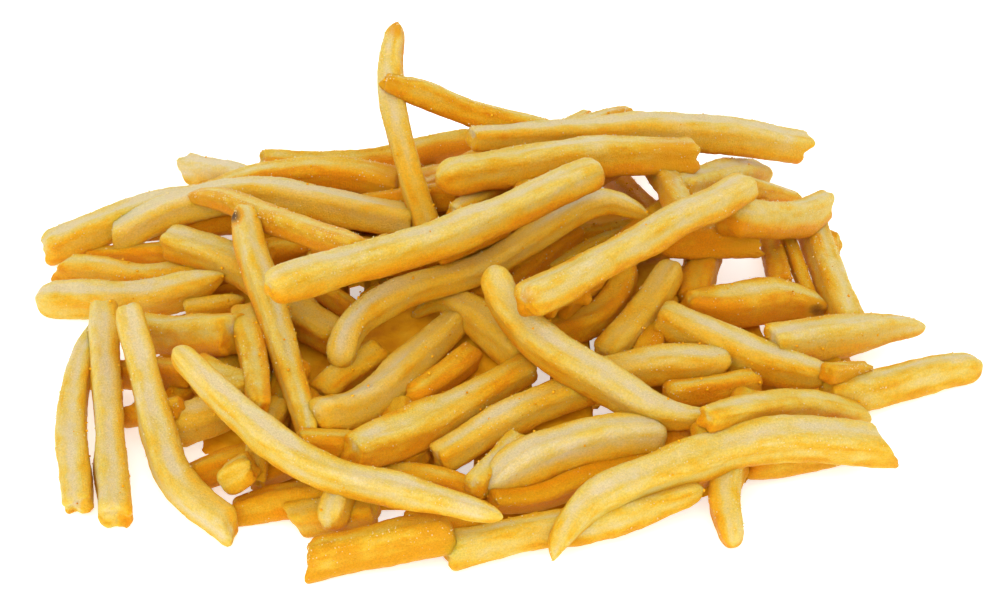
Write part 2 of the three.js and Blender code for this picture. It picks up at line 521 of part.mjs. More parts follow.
function coreSolid() {
  const [rounds, spokes] = [CORE_RINGS, CORE_SPOKES];
  const verts = [0, CORE.y, CORE.high];
  const tris = [];
  for (let k = 1; k <= rounds; k++) for (let j = 0; j < spokes; j++) {
    const q = Math.sqrt(k / rounds) * CORE_RIM;
    const a = 2 * Math.PI * j / spokes;
    const x = CORE.wide * q * Math.cos(a);
    const y = CORE.y + CORE.deep * q * Math.sin(a);
    verts.push(x, y, coreHeight(x, y));
  }
  for (let j = 0; j < spokes; j++) tris.push(0, 1 + j, 1 + (j + 1) % spokes);
  for (let k = 1; k < rounds; k++) for (let j = 0; j < spokes; j++) {
    const a = 1 + (k - 1) * spokes + j;
    const b = 1 + (k - 1) * spokes + (j + 1) % spokes;
    tris.push(a, a + spokes, b + spokes, a, b + spokes, b);
  }
  const under = verts.length / 3;
  const rim = 1 + (rounds - 1) * spokes;
  for (let j = 0; j < spokes; j++) verts.push(verts[(rim + j) * 3], verts[(rim + j) * 3 + 1], 0);
  for (let j = 0; j < spokes; j++) {
    const next = (j + 1) % spokes;
    tris.push(rim + j, under + j, under + next, rim + j, under + next, rim + next);
  }
  for (let j = 1; j < spokes - 1; j++) tris.push(under, under + j + 1, under + j);
  return solid(verts, tris);
}

// the way that is open from the eye to the surface, and from there to the sky
function gapSolid([across, up, halfWide, halfHigh]) {
  const verts = [];
  for (const side of [-1, 1]) {
    const a = across + side * (halfWide + GAP_ROOM);
    const low = unit(sub(sheet(a, up - halfHigh - GAP_ROOM), EYE));
    const top = unit(sub(sheet(a, up + halfHigh + GAP_ROOM), EYE));
    const at = (ray, z) => add(EYE, ray, (z - EYE[2]) / ray[2]);
    const behind = add(at(top, -UNDER), [0, 0, 1], UNDER + SKY);
    verts.push(...at(low, SKY), ...at(low, -UNDER), ...at(top, -UNDER), ...behind);
  }
  const tris = [0, 2, 1, 0, 3, 2, 4, 5, 6, 4, 6, 7];
  for (let j = 0; j < 4; j++) {
    const n = (j + 1) % 4;
    tris.push(j, n, n + 4, j, n + 4, j + 4);
  }
  return solid(verts, tris);
}

const onTop = settle(FRIES.map(bandOf));
const low = fillInside(onTop, random32(SEED));
const all = low.concat(onTop);
const roller = random32(SEED + 1);
let heap = coreSolid();
for (const gap of GAPS) heap = heap.subtract(gapSolid(gap));
for (const fry of all) heap = heap.add(frySolid(fry, roller));
const above = new THREE.BoxGeometry(BLOCK.wide, BLOCK.wide, BLOCK.high).translate(0, 0, BLOCK.high / 2);
heap = heap.intersect(closed(above));

// keep the one outer skin: no sealed pocket and no loose scrap
const pieces = heap.simplify(SMOOTH).decompose();
pieces.sort((a, b) => b.volume() - a.volume());
const body = pieces[0].translate([-CENTRE[0], -CENTRE[1], 0]);
const mesh = body.getMesh();

const geometry = new THREE.BufferGeometry();
geometry.setAttribute('position', new THREE.BufferAttribute(new Float32Array(mesh.vertProperties), 3));
geometry.setIndex(new THREE.BufferAttribute(new Uint32Array(mesh.triVerts), 1));
geometry.computeVertexNormals();
const potato = new THREE.MeshStandardMaterial({ color: 0xe2b257, roughness: 0.6 });
const heapMesh = new THREE.Mesh(geometry, potato);
heapMesh.name = 'fries';
const group = new THREE.Group();
group.name = 'french_fries_portion';
group.add(heapMesh);
export default group;
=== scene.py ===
"""Looks of the french fries portion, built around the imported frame.

The fries that show are laid out by the solid's table: where each shows on a sheet that
faces the eye. They settle by its rules, so each lies in the solid's place, and then get
their real form. Millimetres, apart from the written meshes, which are in metres.
"""
import math

import bpy
import numpy as np
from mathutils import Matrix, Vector


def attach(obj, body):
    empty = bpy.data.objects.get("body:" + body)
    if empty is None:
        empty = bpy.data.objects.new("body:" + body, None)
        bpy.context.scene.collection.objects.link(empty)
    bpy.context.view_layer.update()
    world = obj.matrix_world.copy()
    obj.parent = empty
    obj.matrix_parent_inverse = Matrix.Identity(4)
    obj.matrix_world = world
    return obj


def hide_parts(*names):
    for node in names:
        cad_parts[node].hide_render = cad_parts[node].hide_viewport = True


MM = 0.001

# ---- the solid's driving sizes ----
EYE_RISE, EYE_AWAY, SHEET_RISE = math.radians(35), 700.0, 15.1
HEAP_WIDE, HEAP_DEEP, HEAP_HIGH = 97.0, 80.0, 24.0
CORE_WIDE, CORE_DEEP, CORE_HIGH, CORE_Y = 86.0, 68.0, 11.0, 3.0
SINK, FAR_EDGE, REST, LEAN, STAND = 0.9, 77.0, 0.76, 0.6, 0.35
SPAN_STEPS, ROUNDS, PULL, SWAY, TURN_COST, LONGEST = 24, 400, 0.05, 8.0, 0.06, 80.0
GAP_CLEAR, LOW_FRIES, SEED = 4.0, 40, 20617
CENTRE = np.array([0.05, 3.2, 0.0])
CORE_LOWER = 1.2  # how far this core lies below the solid's
FINE_STEPS = 16  # points between two stations of a line
FACES_SHOWN = 0.1  # how much thinner a fry across the view is than it shows
END_THICK = 0.15  # half thickness at a fry's very ends, by its width
SIGHT_ROUNDS = 4  # rounds in which a line of sight is led to the core
PULL_UNTIL, PUSH = 0.8, 1.3  # the share of the rounds with a pull, and how hard fries part
SLOPES, SURELY = 20, 1e-9  # slopes tried to each side of level, and how much lower wins
BEHIND, SHADOW = 0.5, 0.95  # how far off and how wide something hides, by its half thickness
ANY = 1e9  # more than any height or slope

# name, tone (0 pale, 1 golden, 2 deep, 3 brown), ends, then stations: across, up, width
# ends: c cut, d rounded, L / R cut on a slant with the left or right edge longer, s stands
FRIES = [
    ("tip-a", 1, "cc", -6, 20, 6, 8, 31.5, 5, 17.6, 38.1, 2.6),
    ("tip-b", 1, "cc", -8, 24, 6.4, 8, 32, 5.4, 20.5, 36.9, 4, 26, 38.3, 3.6),
    ("back-a", 1, "cc", -48, 27, 7.5, -27, 27.4, 7.8, -15, 30, 7.7, -5, 31.6, 7.4),
    ("back-b", 1, "lc", -62.5, 27.2, 6.8, -45, 22, 7),
    ("back-c", 2, "cc", -61, 20.3, 6.8, -50, 24.5, 7.3, -40, 26, 7.5, -30, 26, 7.5, -20, 23.8, 7),
    ("left-a", 0, "cc", -91.2, 10.3, 7.4, -80, 14.6, 8, -70, 18.5, 8.1, -60, 20.6, 7.8),
    ("left-b", 2, "cc", -82.5, 8.8, 5, -58, 10.3, 6),
    ("left-c", 1, "Rc", -88, 7.2, 6, -80, 6.4, 7, -72, 4.7, 7, -60, 6, 6.5, -46, 9, 6.5),
    ("arch", 0, "cc", -77, 12.9, 7.4, -65, 19, 8.2, -50, 21.5, 8.3, -38, 20, 8.2, -17, 16, 7.5),
    ("top-end-a", 0, "cd", 36, 23, 6, 44, 25, 7.5, 52.2, 25.9, 7.4),
    ("top-end-b", 1, "cd", 47, 23.6, 5, 59.8, 20.8, 2.6),
    ("shade-a", 3, "cc", 21, 27, 6, 31, 16.5, 6),
    ("shade-b", 1, "cc", 30.5, 28, 6, 37.5, 17.5, 6),
    ("shade-c", 2, "cc", -14.5, 27, 4, -13, 21, 4),
    ("upright", 0, "cds", -14.3, 13, 6.2, -18, 25, 6, -21.2, 38, 5.9, -21.6, 47, 5.4,
     -20.7, 53, 4.4, -20.4, 56.1, 2.8),
    ("leaner", 2, "cc", -23.2, 44.4, 4, -15, 41.5, 5.6, -6, 38, 6.2, 10, 34, 6),
    ("long-top", 0, "cl", -6, 32.7, 5, 10, 33.8, 6.4, 28, 34.5, 8, 45, 33.4, 8.6, 60, 30.9, 7.4),
    ("second-top", 1, "dc", -12.8, 25, 7.6, 0, 26.8, 8, 15, 28.9, 8, 38.8, 29.4, 8),
    ("sliver-a", 1, "cc", -9, 17.5, 5, -2, 21.8, 5, 6, 23.5, 5),
    ("mid-a", 2, "cc", -47, 9.5, 7, -30, 13, 7),
    ("brown-tip", 3, "dc", -62.3, 21.4, 2.2, -57, 20.8, 5, -47, 17.3, 6, -36, 13, 5.8, -28, 10.6, 5.4),
    ("mid-b", 2, "cc", -37, 3.5, 4.5, -29, -2, 4.5),
    ("mid-c", 1, "cc", -66, 13, 8.8, -50, 6, 8.6, -40, -2, 8.4, -32, -7.5, 8),
    ("low-a", 3, "cc", -66.3, -20, 5, -60, -14.5, 5),
    ("low-b", 1, "cc", -65.8, -25.3, 8, -57, -22, 8.2, -44, -16.5, 7),
    ("low-c", 3, "cc", -60, -14, 8, -50, -18, 8),
    ("low-d", 1, "cc", -46.8, -26, 6.5, -45, -21, 6.5, -41, -12, 6.4),
    ("low-e", 2, "cc", -51, -1.5, 6, -49.5, -9.5, 5.9, -48.3, -21, 4.6),
    ("cross-left", 1, "dc", -52, 19, 6, -47, 3, 6.6, -42.8, -10, 6, -38.6, -26, 4.6),
    ("low-f", 3, "cc", -74.5, -22.7, 4.8, -64, -21, 5),
    ("low-g", 3, "cc", -84.5, -14.6, 6, -62, -14, 6),
    ("block", 1, "cc", -72, -6.2, 8.4, -53.2, -6, 8.4),
    ("stub", 0, "cd", -63, -1.6, 4.8, -55, -0.4, 4.4, -51.2, 0.8, 2.6),
    ("low-h", 2, "cc", -50, -36, 5, -41, -31.5, 5),
    ("low-i", 1, "cc", -49.8, -35.5, 5, -48.3, -28, 5, -44, -20, 5),
    ("knob", 1, "cd", -49.5, -32.5, 6.4, -55.6, -36.6, 6.4),
    ("shade-d", 1, "cc", -36.3, -18.5, 6.5, -32, -14.5, 6.5, -24, -9.5, 6.5),
    ("shade-e", 3, "cc", -18, -20, 6, -6, -10, 6),
    ("long-mid", 0, "cc", -46.8, 3.3, 7.4, -38, 5.6, 8, -15, 11.7, 8.2, 2, 18.8, 8, 20, 26.5, 6.8),
    ("shade-f", 3, "cc", 13, 12.8, 4.5, 29.5, 15.3, 4),
    ("shade-g", 3, "cc", 0, 3, 6.5, 15, 13.5, 7),
    ("sliver-b", 1, "cc", -27.5, 1, 2.6, -20, 6, 2.6),
    ("wave", 0, "dd", -33, -12.7, 6, -29.5, -4.5, 6.8, -20, 1.8, 6.8, -4, 6.9, 6.4, 12, 17,
     6.2, 21, 20, 5.8, 29.6, 17.2, 3),
    ("sliver-c", 1, "cc", 10, 7, 3.6, 30, 16, 3.6),
    ("shade-h", 3, "cc", 41.5, 11, 7.4, 38.5, 0, 7.4),
    ("shade-i", 3, "cc", 32, 12, 6.5, 40, 12.3, 7.6, 51, 13, 8),
    ("shade-j", 3, "cc", 53.5, 15, 5, 56.5, 3, 5),
    ("right-a", 1, "cc", 58, 15, 5, 67.6, 12, 5),
    ("right-b", 1, "cc", 56.5, 14, 3.6, 59.5, 8, 3.6, 62.5, 0, 3.5),
    ("right-c", 1, "cc", 61.5, 18, 7.2, 65, 8, 7.3, 69.6, -5, 7.2),
    ("right-d", 1, "cL", 46, 17.7, 8, 54, 16.3, 8.3, 60, 17.3, 7.8, 65.2, 20.2, 6.2),
    ("slope", 0, "cc", 5, -0.5, 7.4, 20, 7.8, 7.4, 36, 16.3, 7.4, 50, 23.8, 7),
    ("bend", 2, "cc", 25, 7, 5, 23, 0.5, 6.4, 18, -4, 6.8, 8, -6, 7),
    ("curl", 0, "dc", -17.5, -2.9, 2, -12, 0, 4, -8, -1, 7, -3, -4.5, 8, 5, -11, 8),
    ("mid-d", 1, "cc", -37.2, -22.6, 7.3, -30, -21, 7.5, -20, -14.5, 7.8, -9, -4, 6.6),
    ("mid-e", 2, "cc", -41, -27.5, 6, -27, -29.5, 6),
    ("mid-f", 1, "cc", -29.5, -30, 8, -22, -27.3, 9, -13, -23.3, 8.4, -4, -18.2, 7.4, 6, -12.8, 6.5),
    ("shade-k", 2, "cc", 33.5, 0, 6, 29, -11, 6),
    ("standing", 0, "dc", 35.2, 7.7, 6, 30, 0, 6.5, 24, -7.5, 6.5, 21, -11, 6.2),
    ("brown-end", 2, "cc", 37.5, 0, 6.5, 46, -0.8, 9.2, 55, 0.5, 9.3, 63.6, -0.6, 6),
    ("sliver-d", 0, "cc", 58, -9.5, 3.5, 67.6, -12.4, 3.5),
    ("spear", 0, "cd", 54, -8.5, 8, 62, -7.3, 9, 70, -6.4, 8.6, 77, -5.2, 6.2, 84.9, -4.9, 3),
    ("right-e", 1, "cd", 32, -2.2, 8, 42, -7, 9.4, 52, -11.8, 9.2, 60, -14.2, 7, 67, -15.2, 3.4),
    ("shade-l", 2, "cc", 33, -19, 6, 51.5, -16, 6),
    ("scrap", 2, "cc", 65, -13.8, 4.6, 73, -13.8, 3.6),
    ("far-right", 1, "cd", 65, -18.8, 7.2, 75, -17.6, 7.6, 85, -14.9, 7.8, 90, -13.6, 7.2,
     96.3, -13.1, 6),
    ("long-low", 0, "cc", -12.5, -31, 6.5, 0, -24.2, 7.4, 12, -18.5, 7.7, 28, -13, 8.1, 45, -11.8, 8.3),
    ("diagonal", 0, "dd", -2, 7.3, 6.2, 1, -0.5, 7.2, 9, -9, 8.8, 22, -16.7, 9, 34, -22.3,
     6.6, 45.3, -23.4, 2.6),
    ("pointer", 1, "cd", 46.5, -31, 7.8, 45.2, -35, 7.4, 44.7, -40, 6.7, 45.8, -45, 5, 46.1, -48.6, 4),
    ("front-a", 1, "cd", -11, -49.8, 7.4, 8, -45.6, 7.6, 16, -44.4, 7.4, 24, -42.1, 7.2, 40.4, -37, 5),
    ("front-b", 3, "cc", -53.5, -41.7, 5.6, -42, -39.2, 7.4, -25, -39, 7.5),
    ("front-c", 1, "Lc", -41.6, -43.3, 7.4, -25, -41.8, 7.6),
    ("end-on", 1, "cd", -31, -34, 6.5, -34.4, -45, 6.4),
    ("front-d", 1, "rc", -38.2, -51.8, 8.4, -25, -48.6, 8.8, -9.5, -45.6, 7.8),
    ("low-j", 2, "cc", -24, -33.5, 5, -12, -35.5, 5, -3, -38.8, 5),
    ("low-k", 1, "cc", -6, -36.8, 5, 3, -27.5, 5),
    ("low-l", 3, "cc", -1.8, -39.7, 5, 8, -38.6, 5.6, 22, -33, 5.6, 38, -26.5, 5.5),
    ("right-f", 1, "cR", 41, -23.2, 5, 50, -21.2, 6.8, 62, -20.3, 7, 73.2, -22.9, 5),
    ("round-nose", 0, "dc", -2.4, -37.4, 5.6, 3, -33.1, 8.5, 10, -30, 9.3, 22, -27, 9.6,
     32.2, -26.9, 8),
    ("long-front", 0, "dR", 10.5, -51.6, 1.6, 12.3, -46.2, 4.6, 18, -39.8, 7, 30, -35, 8,
     50, -28.2, 8.8, 68, -27.4, 9, 77.2, -28.2, 8),
    ("left-d", 0, "dd", -92.8, 1.4, 7.4, -85, 0.7, 8.8, -72, 0.4, 8.8, -63, 2.6, 8, -55.4, 5.6, 3),
    ("leg-c", 0, "cR", -73.9, -1, 5.4, -71.5, -14, 6.2, -65.5, -34.5, 7, -54, -45.8, 6.6),
    ("leg-a", 0, "cc", -79.5, -5.5, 5.6, -83.4, -10, 5.8, -85.2, -17, 5.8, -85.7, -26, 5.9,
     -84.2, -40.8, 6.3),
    ("leg-b", 0, "cc", -79.5, -0.5, 6, -79, -14, 6.1, -76.7, -43, 6.6),
    ("long-left", 0, "dd", -65.3, -9.2, 5, -53, -21.6, 6.8, -38, -32.6, 6.9, -20, -37.7,
     6.6, -8, -40.4, 4.8, 0.4, -42.7, 2.4),
]

# how much further from the eye a fry is tucked in
TUCK = {"shade-e": 2.5, "low-l": 2.5, "round-nose": 1.0}

# where the surface shows between the fries: across, up, half width, half height
GAPS = [
    (-28.6, 1.8, 1.2, 1.2), (20.3, -8.4, 1.8, 2), (8, -15, 1.8, 1.4), (21, -22, 1.6, 0.8),
    (-7.5, -33.2, 1.2, 1.6), (48, 6.5, 5, 3), (35.3, 9.2, 1, 1), (55.5, -5, 3, 1.2),
]

# where nothing from inside the heap peeps out: across, up, half width, half height
SHUT_PLACES = [(-20.5, 4.8, 5, 4), (-20, 45, 12, 17)]

# browned or burnt places: fry, across, up, reach, depth
BURNS = [
    ("cross-left", -53.3, 17.2, 2.2, 1), ("brown-end", 62.8, -1.2, 2.6, 0.85),
    ("second-top", 34.5, 28.5, 8.5, 0.42), ("shade-i", 50, 13, 7, 0.46),
    ("upright", -20.4, 55.5, 3.5, 0.5), ("leaner", -23, 44.2, 4, 0.5),
    ("back-c", -21, 24, 9, 0.45), ("scrap", 71, -13.8, 3, 0.45),
    ("tip-b", 24, 38, 3, 0.35), ("shade-b", 33, 24, 4, 0.4),
    ("brown-tip", -62, 21, 5, 0.4), ("low-i", -49, -34, 4, 0.35),
    ("slope", 6, 0, 3, 0.35), ("right-a", 66, 12.5, 3, 0.35),
    ("front-d", -37.5, -52, 3, 0.3),
]

# torn ends: fry and end, how many times rougher than a plain cut
RAGGED = {
    ("second-top", 1): 2.6, ("shade-i", 1): 3.0, ("long-top", 1): 1.8, ("leg-a", 1): 2.0,
    ("leg-b", 1): 1.8, ("leg-c", 1): 1.8, ("cross-left", 1): 1.8, ("front-d", 0): 1.8,
    ("low-i", 0): 2.2, ("knob", 0): 1.8, ("scrap", 1): 2.0, ("right-e", 1): 2.0,
    ("left-a", 0): 1.6, ("right-c", 0): 1.8, ("brown-end", 1): 1.8,
}
# rounded rims of cut ends, by the width, where they differ from the usual
WORN = {
    ("long-mid", 0): 0.34, ("long-mid", 1): 0.36, ("slope", 1): 0.36, ("slope", 0): 0.30,
    ("right-d", 0): 0.36, ("standing", 1): 0.3, ("mid-d", 0): 0.3, ("curl", 1): 0.3,
    ("block", 1): 0.08, ("front-d", 0): 0.12, ("long-top", 1): 0.08, ("shade-i", 1): 0.08,
    ("left-a", 0): 0.28, ("mid-c", 0): 0.24, ("back-a", 1): 0.2,
}
# how much more browned than others of its tone; partly painted light and shade: fries that lie in the
# heap's shade (arch, mid-d, back-b, low-b) are made paler, and front ones that the front lamp lights
# most (front-d, low-h) browner
BROWNING_AND_LIGHT_BY_FRY = {
    "front-d": 0.42, "low-h": 0.32, "arch": -0.22, "mid-d": -0.30, "back-b": -0.40,
    "low-b": -0.28, "right-e": -0.12, "round-nose": -0.14, "low-l": 0.42, "leaner": -0.04,
    "long-top": -0.06, "left-d": -0.08, "back-a": 0.30, "wave": -0.08, "long-front": 0.12,
    "mid-c": -0.10, "curl": -0.08, "slope": 0.10, "long-mid": 0.06, "long-left": 0.08,
    "left-b": 0.08, "shade-a": 0.1, "shade-g": 0.1, "mid-a": 0.1, "low-g": 0.1,
}
KINDS = ["pale_fries", "golden_fries", "deep_fries", "brown_fries"]  # the tones' pieces
BASE_SHADE = [0.165, 0.325, 0.53, 0.65]  # how browned each tone is
SHADE_VARIES, ROLL = 0.08, 0.7
HORN = 0.45  # how far the corners of a torn end stand out
WANDER = 0.5  # how far a fry's middle line strays from its smooth course

EYE = np.array([0.0, -EYE_AWAY * math.cos(EYE_RISE), SHEET_RISE + EYE_AWAY * math.sin(EYE_RISE)])
UPWARD = np.array([0.0, math.sin(EYE_RISE), math.cos(EYE_RISE)])
AHEAD = np.array([0.0, math.cos(EYE_RISE), -math.sin(EYE_RISE)])
MIDDLE = np.array([0.0, 0.0, SHEET_RISE])


def sheet(across, up):
    """Points on the sheet."""
    across, up = np.broadcast_arrays(np.asarray(across, float), np.asarray(up, float))
    return MIDDLE + across[..., None] * np.array([1.0, 0, 0]) + up[..., None] * UPWARD


def unit(v):
    return v / np.linalg.norm(v, axis=-1, keepdims=True)


def random32(seed):
    """The same even draws from 0 to 1 as the solid's."""
    state = [seed & 0xFFFFFFFF]

    def times(a, b):
        return (a * b) & 0xFFFFFFFF

    def pick():
        state[0] = (state[0] + 0x6D2B79F5) & 0xFFFFFFFF
        t = state[0]
        t = times(t ^ (t >> 15), t | 1)
        t ^= (t + times(t ^ (t >> 7), t | 61)) & 0xFFFFFFFF
        return (t ^ (t >> 14)) / 4294967296
    return pick


# ---- placing: as in the solid ----
def smooth(stations, steps):
    """A smooth line through stations at equal steps: (across, up, width, distance along)."""
    st = np.array(stations, float)
    run = np.vstack([2 * st[0] - st[1], st, 2 * st[-1] - st[-2]])
    t = (np.arange(FINE_STEPS) / FINE_STEPS)[:, None]
    fine = []
    for i in range(1, len(run) - 2):
        a, b, c, d = run[i - 1], run[i], run[i + 1], run[i + 2]
        m0, m1 = (c - a) / 2, (d - b) / 2
        fine.append((2 * t**3 - 3 * t**2 + 1) * b + (t**3 - 2 * t**2 + t) * m0
                    + (3 * t**2 - 2 * t**3) * c + (t**3 - t**2) * m1)
    fine = np.vstack(fine + [st[-1:]])
    sums = np.concatenate([[0], np.cumsum(np.hypot(*np.diff(fine[:, :2], axis=0).T))])
    s = sums[-1] * np.arange(steps + 1) / steps
    return np.column_stack([np.interp(s, sums, fine[:, k]) for k in range(3)] + [s])


def core_height(x, y):
    q = (x / CORE_WIDE) ** 2 + ((y - CORE_Y) / CORE_DEEP) ** 2
    return np.where(q < 1, CORE_HIGH * (1 - q), 0.0)


def rest_height(x, y):
    return np.maximum(0, core_height(x, y) - SINK)


def heap_away(ray):
    """How far along lines of sight the heap's rounded form is met, or passed nearest."""
    x, y, z = ray.T
    two = (x / HEAP_WIDE) ** 2 + (y / HEAP_DEEP) ** 2
    one = 2 * (EYE[0] * x / HEAP_WIDE**2 + EYE[1] * y / HEAP_DEEP**2) + z / HEAP_HIGH
    none = (EYE[0] / HEAP_WIDE) ** 2 + (EYE[1] / HEAP_DEEP) ** 2 + EYE[2] / HEAP_HIGH - 1
    return (-one - np.sqrt(np.maximum(0, one * one - 4 * two * none))) / (2 * two)


def band_of(row):
    """A fry that shows, as places along it with their lines of sight."""
    name, tone, ends = row[:3]
    line = smooth(np.array(row[3:], float).reshape(-1, 3), SPAN_STEPS)
    a, u, width, along = line.T
    flat = abs(a[-1] - a[0])
    part = 0.5 - FACES_SHOWN * flat / math.hypot(flat, u[-1] - u[0])
    ray = unit(sheet(a, u) - EYE)
    to_end = np.minimum(along, along[-1] - along)
    r = np.minimum(width * part, to_end + width * END_THICK)
    stop = np.minimum((r - EYE[2]) / ray[:, 2], (FAR_EDGE - r - EYE[1]) / ray[:, 1])
    for _ in range(SIGHT_ROUNDS):
        p = EYE + ray * stop[:, None]
        stop = np.minimum(stop, (r + rest_height(p[:, 0], p[:, 1]) - EYE[2]) / ray[:, 2])
    t = 2 * np.arange(SPAN_STEPS + 1) / SPAN_STEPS - 1
    form = heap_away(ray)
    swing = (form * t).sum() / (t * t).sum()
    long = along[-1]
    stands = ends.endswith("s")
    most = (0 if stands else LEAN) * long / 2
    turn = STAND * long / 2 if stands else swing
    cap = math.sqrt(LONGEST**2 - long**2) / 2 if long < LONGEST else 0
    least, most = max(turn - most, -cap), min(turn + most, cap)
    return dict(name=name, tone=tone, ends=ends, a=a, u=u, width=width, r=r, ray=ray, stop=stop, t=t,
                aim=(form.mean(), turn), turns=(least, most),
                away=[form.mean(), min(max(turn, least), most)])


def rest_on(ts, floors, level, sway, least, most):
    """The straight line over all the floors that is lowest in the middle: its height and slope."""
    tried = np.arange(-SLOPES, SLOPES + 1) / SLOPES
    slopes = np.clip(level + sway * tried, -most, -least)
    highs = (floors[None, :] - slopes[:, None] * ts[None, :]).max(1)
    costs = highs + np.abs(slopes - level) * TURN_COST
    best = 0
    for k in range(1, len(costs)):
        if costs[k] < costs[best] - SURELY:
            best = k
    return highs[best], slopes[best]


def settle(bands):
    """Sets how far along the lines of sight each fry lies, and returns the fries in space."""
    found = []
    for i, back in enumerate(bands):
        for j in range(i + 1, len(bands)):
            front = bands[j]
            gap = (back["r"][:, None] + front["r"][None, :]) * REST
            off = (back["a"][:, None] - front["a"]) ** 2 + (back["u"][:, None] - front["u"]) ** 2
            for p, q in np.argwhere(off < gap * gap):
                found.append((i, p, j, q, math.sqrt(gap[p, q] ** 2 - off[p, q])))
    found = np.array(found)
    bi, pi, bj, qj = found[:, :4].astype(int).T
    apart = found[:, 4]
    t = bands[0]["t"]
    ti, tj = t[pi], t[qj]
    stops = np.array([b["stop"] for b in bands])
    aims = np.array([b["aim"] for b in bands])
    low, high = np.array([b["turns"] for b in bands]).T
    away = np.array([b["away"] for b in bands])
    n = len(bands)
    for k in range(ROUNDS):
        pull = PULL * max(0, 1 - k / (PULL_UNTIL * ROUNDS))
        short = np.maximum(0, apart - (away[bi, 0] + away[bi, 1] * ti - away[bj, 0] - away[bj, 1] * tj))
        on = short > 0
        wi, wj = short / 2 / (1 + 3 * ti * ti), -short / 2 / (1 + 3 * tj * tj)
        over = np.maximum(0, away[:, :1] + away[:, 1:] * t - stops)
        back = -over / (1 + 3 * t * t)
        mid = np.bincount(bi, wi, n) + np.bincount(bj, wj, n) + back.sum(1)
        turn = np.bincount(bi, 3 * ti * wi, n) + np.bincount(bj, 3 * tj * wj, n) + (3 * t * back).sum(1)
        count = np.bincount(bi, on, n) + np.bincount(bj, on, n) + (over > 0).sum(1)
        rate = np.where(count > 0, PUSH / np.maximum(1, count), 0)
        away[:, 0] += rate * mid + pull * (aims[:, 0] - away[:, 0])
        away[:, 1] += rate * turn + pull * (aims[:, 1] - away[:, 1])
        away[:, 1] = np.clip(away[:, 1], low, high)
    for k, band in enumerate(bands):
        nearest = -band["stop"].copy()
        mine = bj == k
        held = apart[mine] - away[bi[mine], 0] - away[bi[mine], 1] * ti[mine]
        np.maximum.at(nearest, qj[mine], held)
        rise, slope = rest_on(t, nearest, -away[k, 1], SWAY, *band["turns"])
        away[k] = (-rise + TUCK.get(band["name"], 0), -slope)
    made = []
    for band, (mid, turn) in zip(bands, away):
        reach = np.minimum(band["stop"], mid + turn * t)
        made.append(dict(band, at=EYE + band["ray"] * reach[:, None]))
    return made


def balls_of(fries):
    """Fries as balls along their middle lines: the places and the radii."""
    return np.vstack([f["at"] for f in fries]), np.concatenate([f["r"] for f in fries])


def past_balls(points, balls, radii):
    """On lines of sight to points: how far balls and points are, and which balls lie on them."""
    to = points - EYE
    far = np.linalg.norm(to, axis=1)
    c = balls - EYE
    nearest = (to / far[:, None]) @ c.T
    off = (c * c).sum(1) - nearest**2
    return nearest, far[:, None], off < (radii * SHADOW) ** 2


def hidden(points, balls, radii):
    """For each point, whether something nearer to the eye hides it."""
    nearest, far, on_line = past_balls(points, balls, radii)
    return ((nearest < far - radii * BEHIND) & on_line).any(1)


def covers(points, balls, radii):
    """For each point, whether it would hide something of what shows behind it."""
    nearest, far, on_line = past_balls(points, balls, radii)
    return ((nearest > far) & on_line).any(1)


def over_core(points):
    """For each point, whether the line of sight through it goes on to the core."""
    ray = unit(points - EYE)
    reach = -EYE[2] / ray[:, 2]
    for _ in range(SIGHT_ROUNDS):
        p = EYE + ray * reach[:, None]
        reach = (core_height(p[:, 0], p[:, 1]) - EYE[2]) / ray[:, 2]
    return core_height(p[:, 0], p[:, 1]) > CORE_LOWER


def shown(points):
    """Where points show on the sheet."""
    ray = points - EYE
    q = EYE + ray * (EYE_AWAY / (ray @ AHEAD))[:, None] - MIDDLE
    return q[:, 0], q @ UPWARD


# fries inside the heap, and more that may show between the others
HIDDEN_FRIES = dict(wanted=LOW_FRIES, tries=20000, lengths=(40, 30), room=0.5, bare_most=5)
PEEPING_FRIES = dict(wanted=90, tries=16000, lengths=(13, 30), room=0.55, bare_most=3, peeping=True)
INNER_X, INNER_Y, INNER_THICK, INNER_BOW = (-88, 176), (-66, 144), (5.6, 1.2), 5
INNER_SWAY = 0.15  # the steepest slope tried for one, by its length
INNER_SHOWS = 1.16  # how much wider one shows than it is thick
BELOW_REACH, ABOVE_REACH = 8, 12  # how far round one others are looked for, past its ends
PEEK = 0.8  # how high its top is tested for showing, by its half thickness


def in_places(a, u, places, clear=0.0):
    """Whether any point shows in one of the places, or as near to it as given."""
    return any(((abs(a - pa) < pw + clear) & (abs(u - pu) < ph + clear)).any()
               for pa, pu, pw, ph in places)


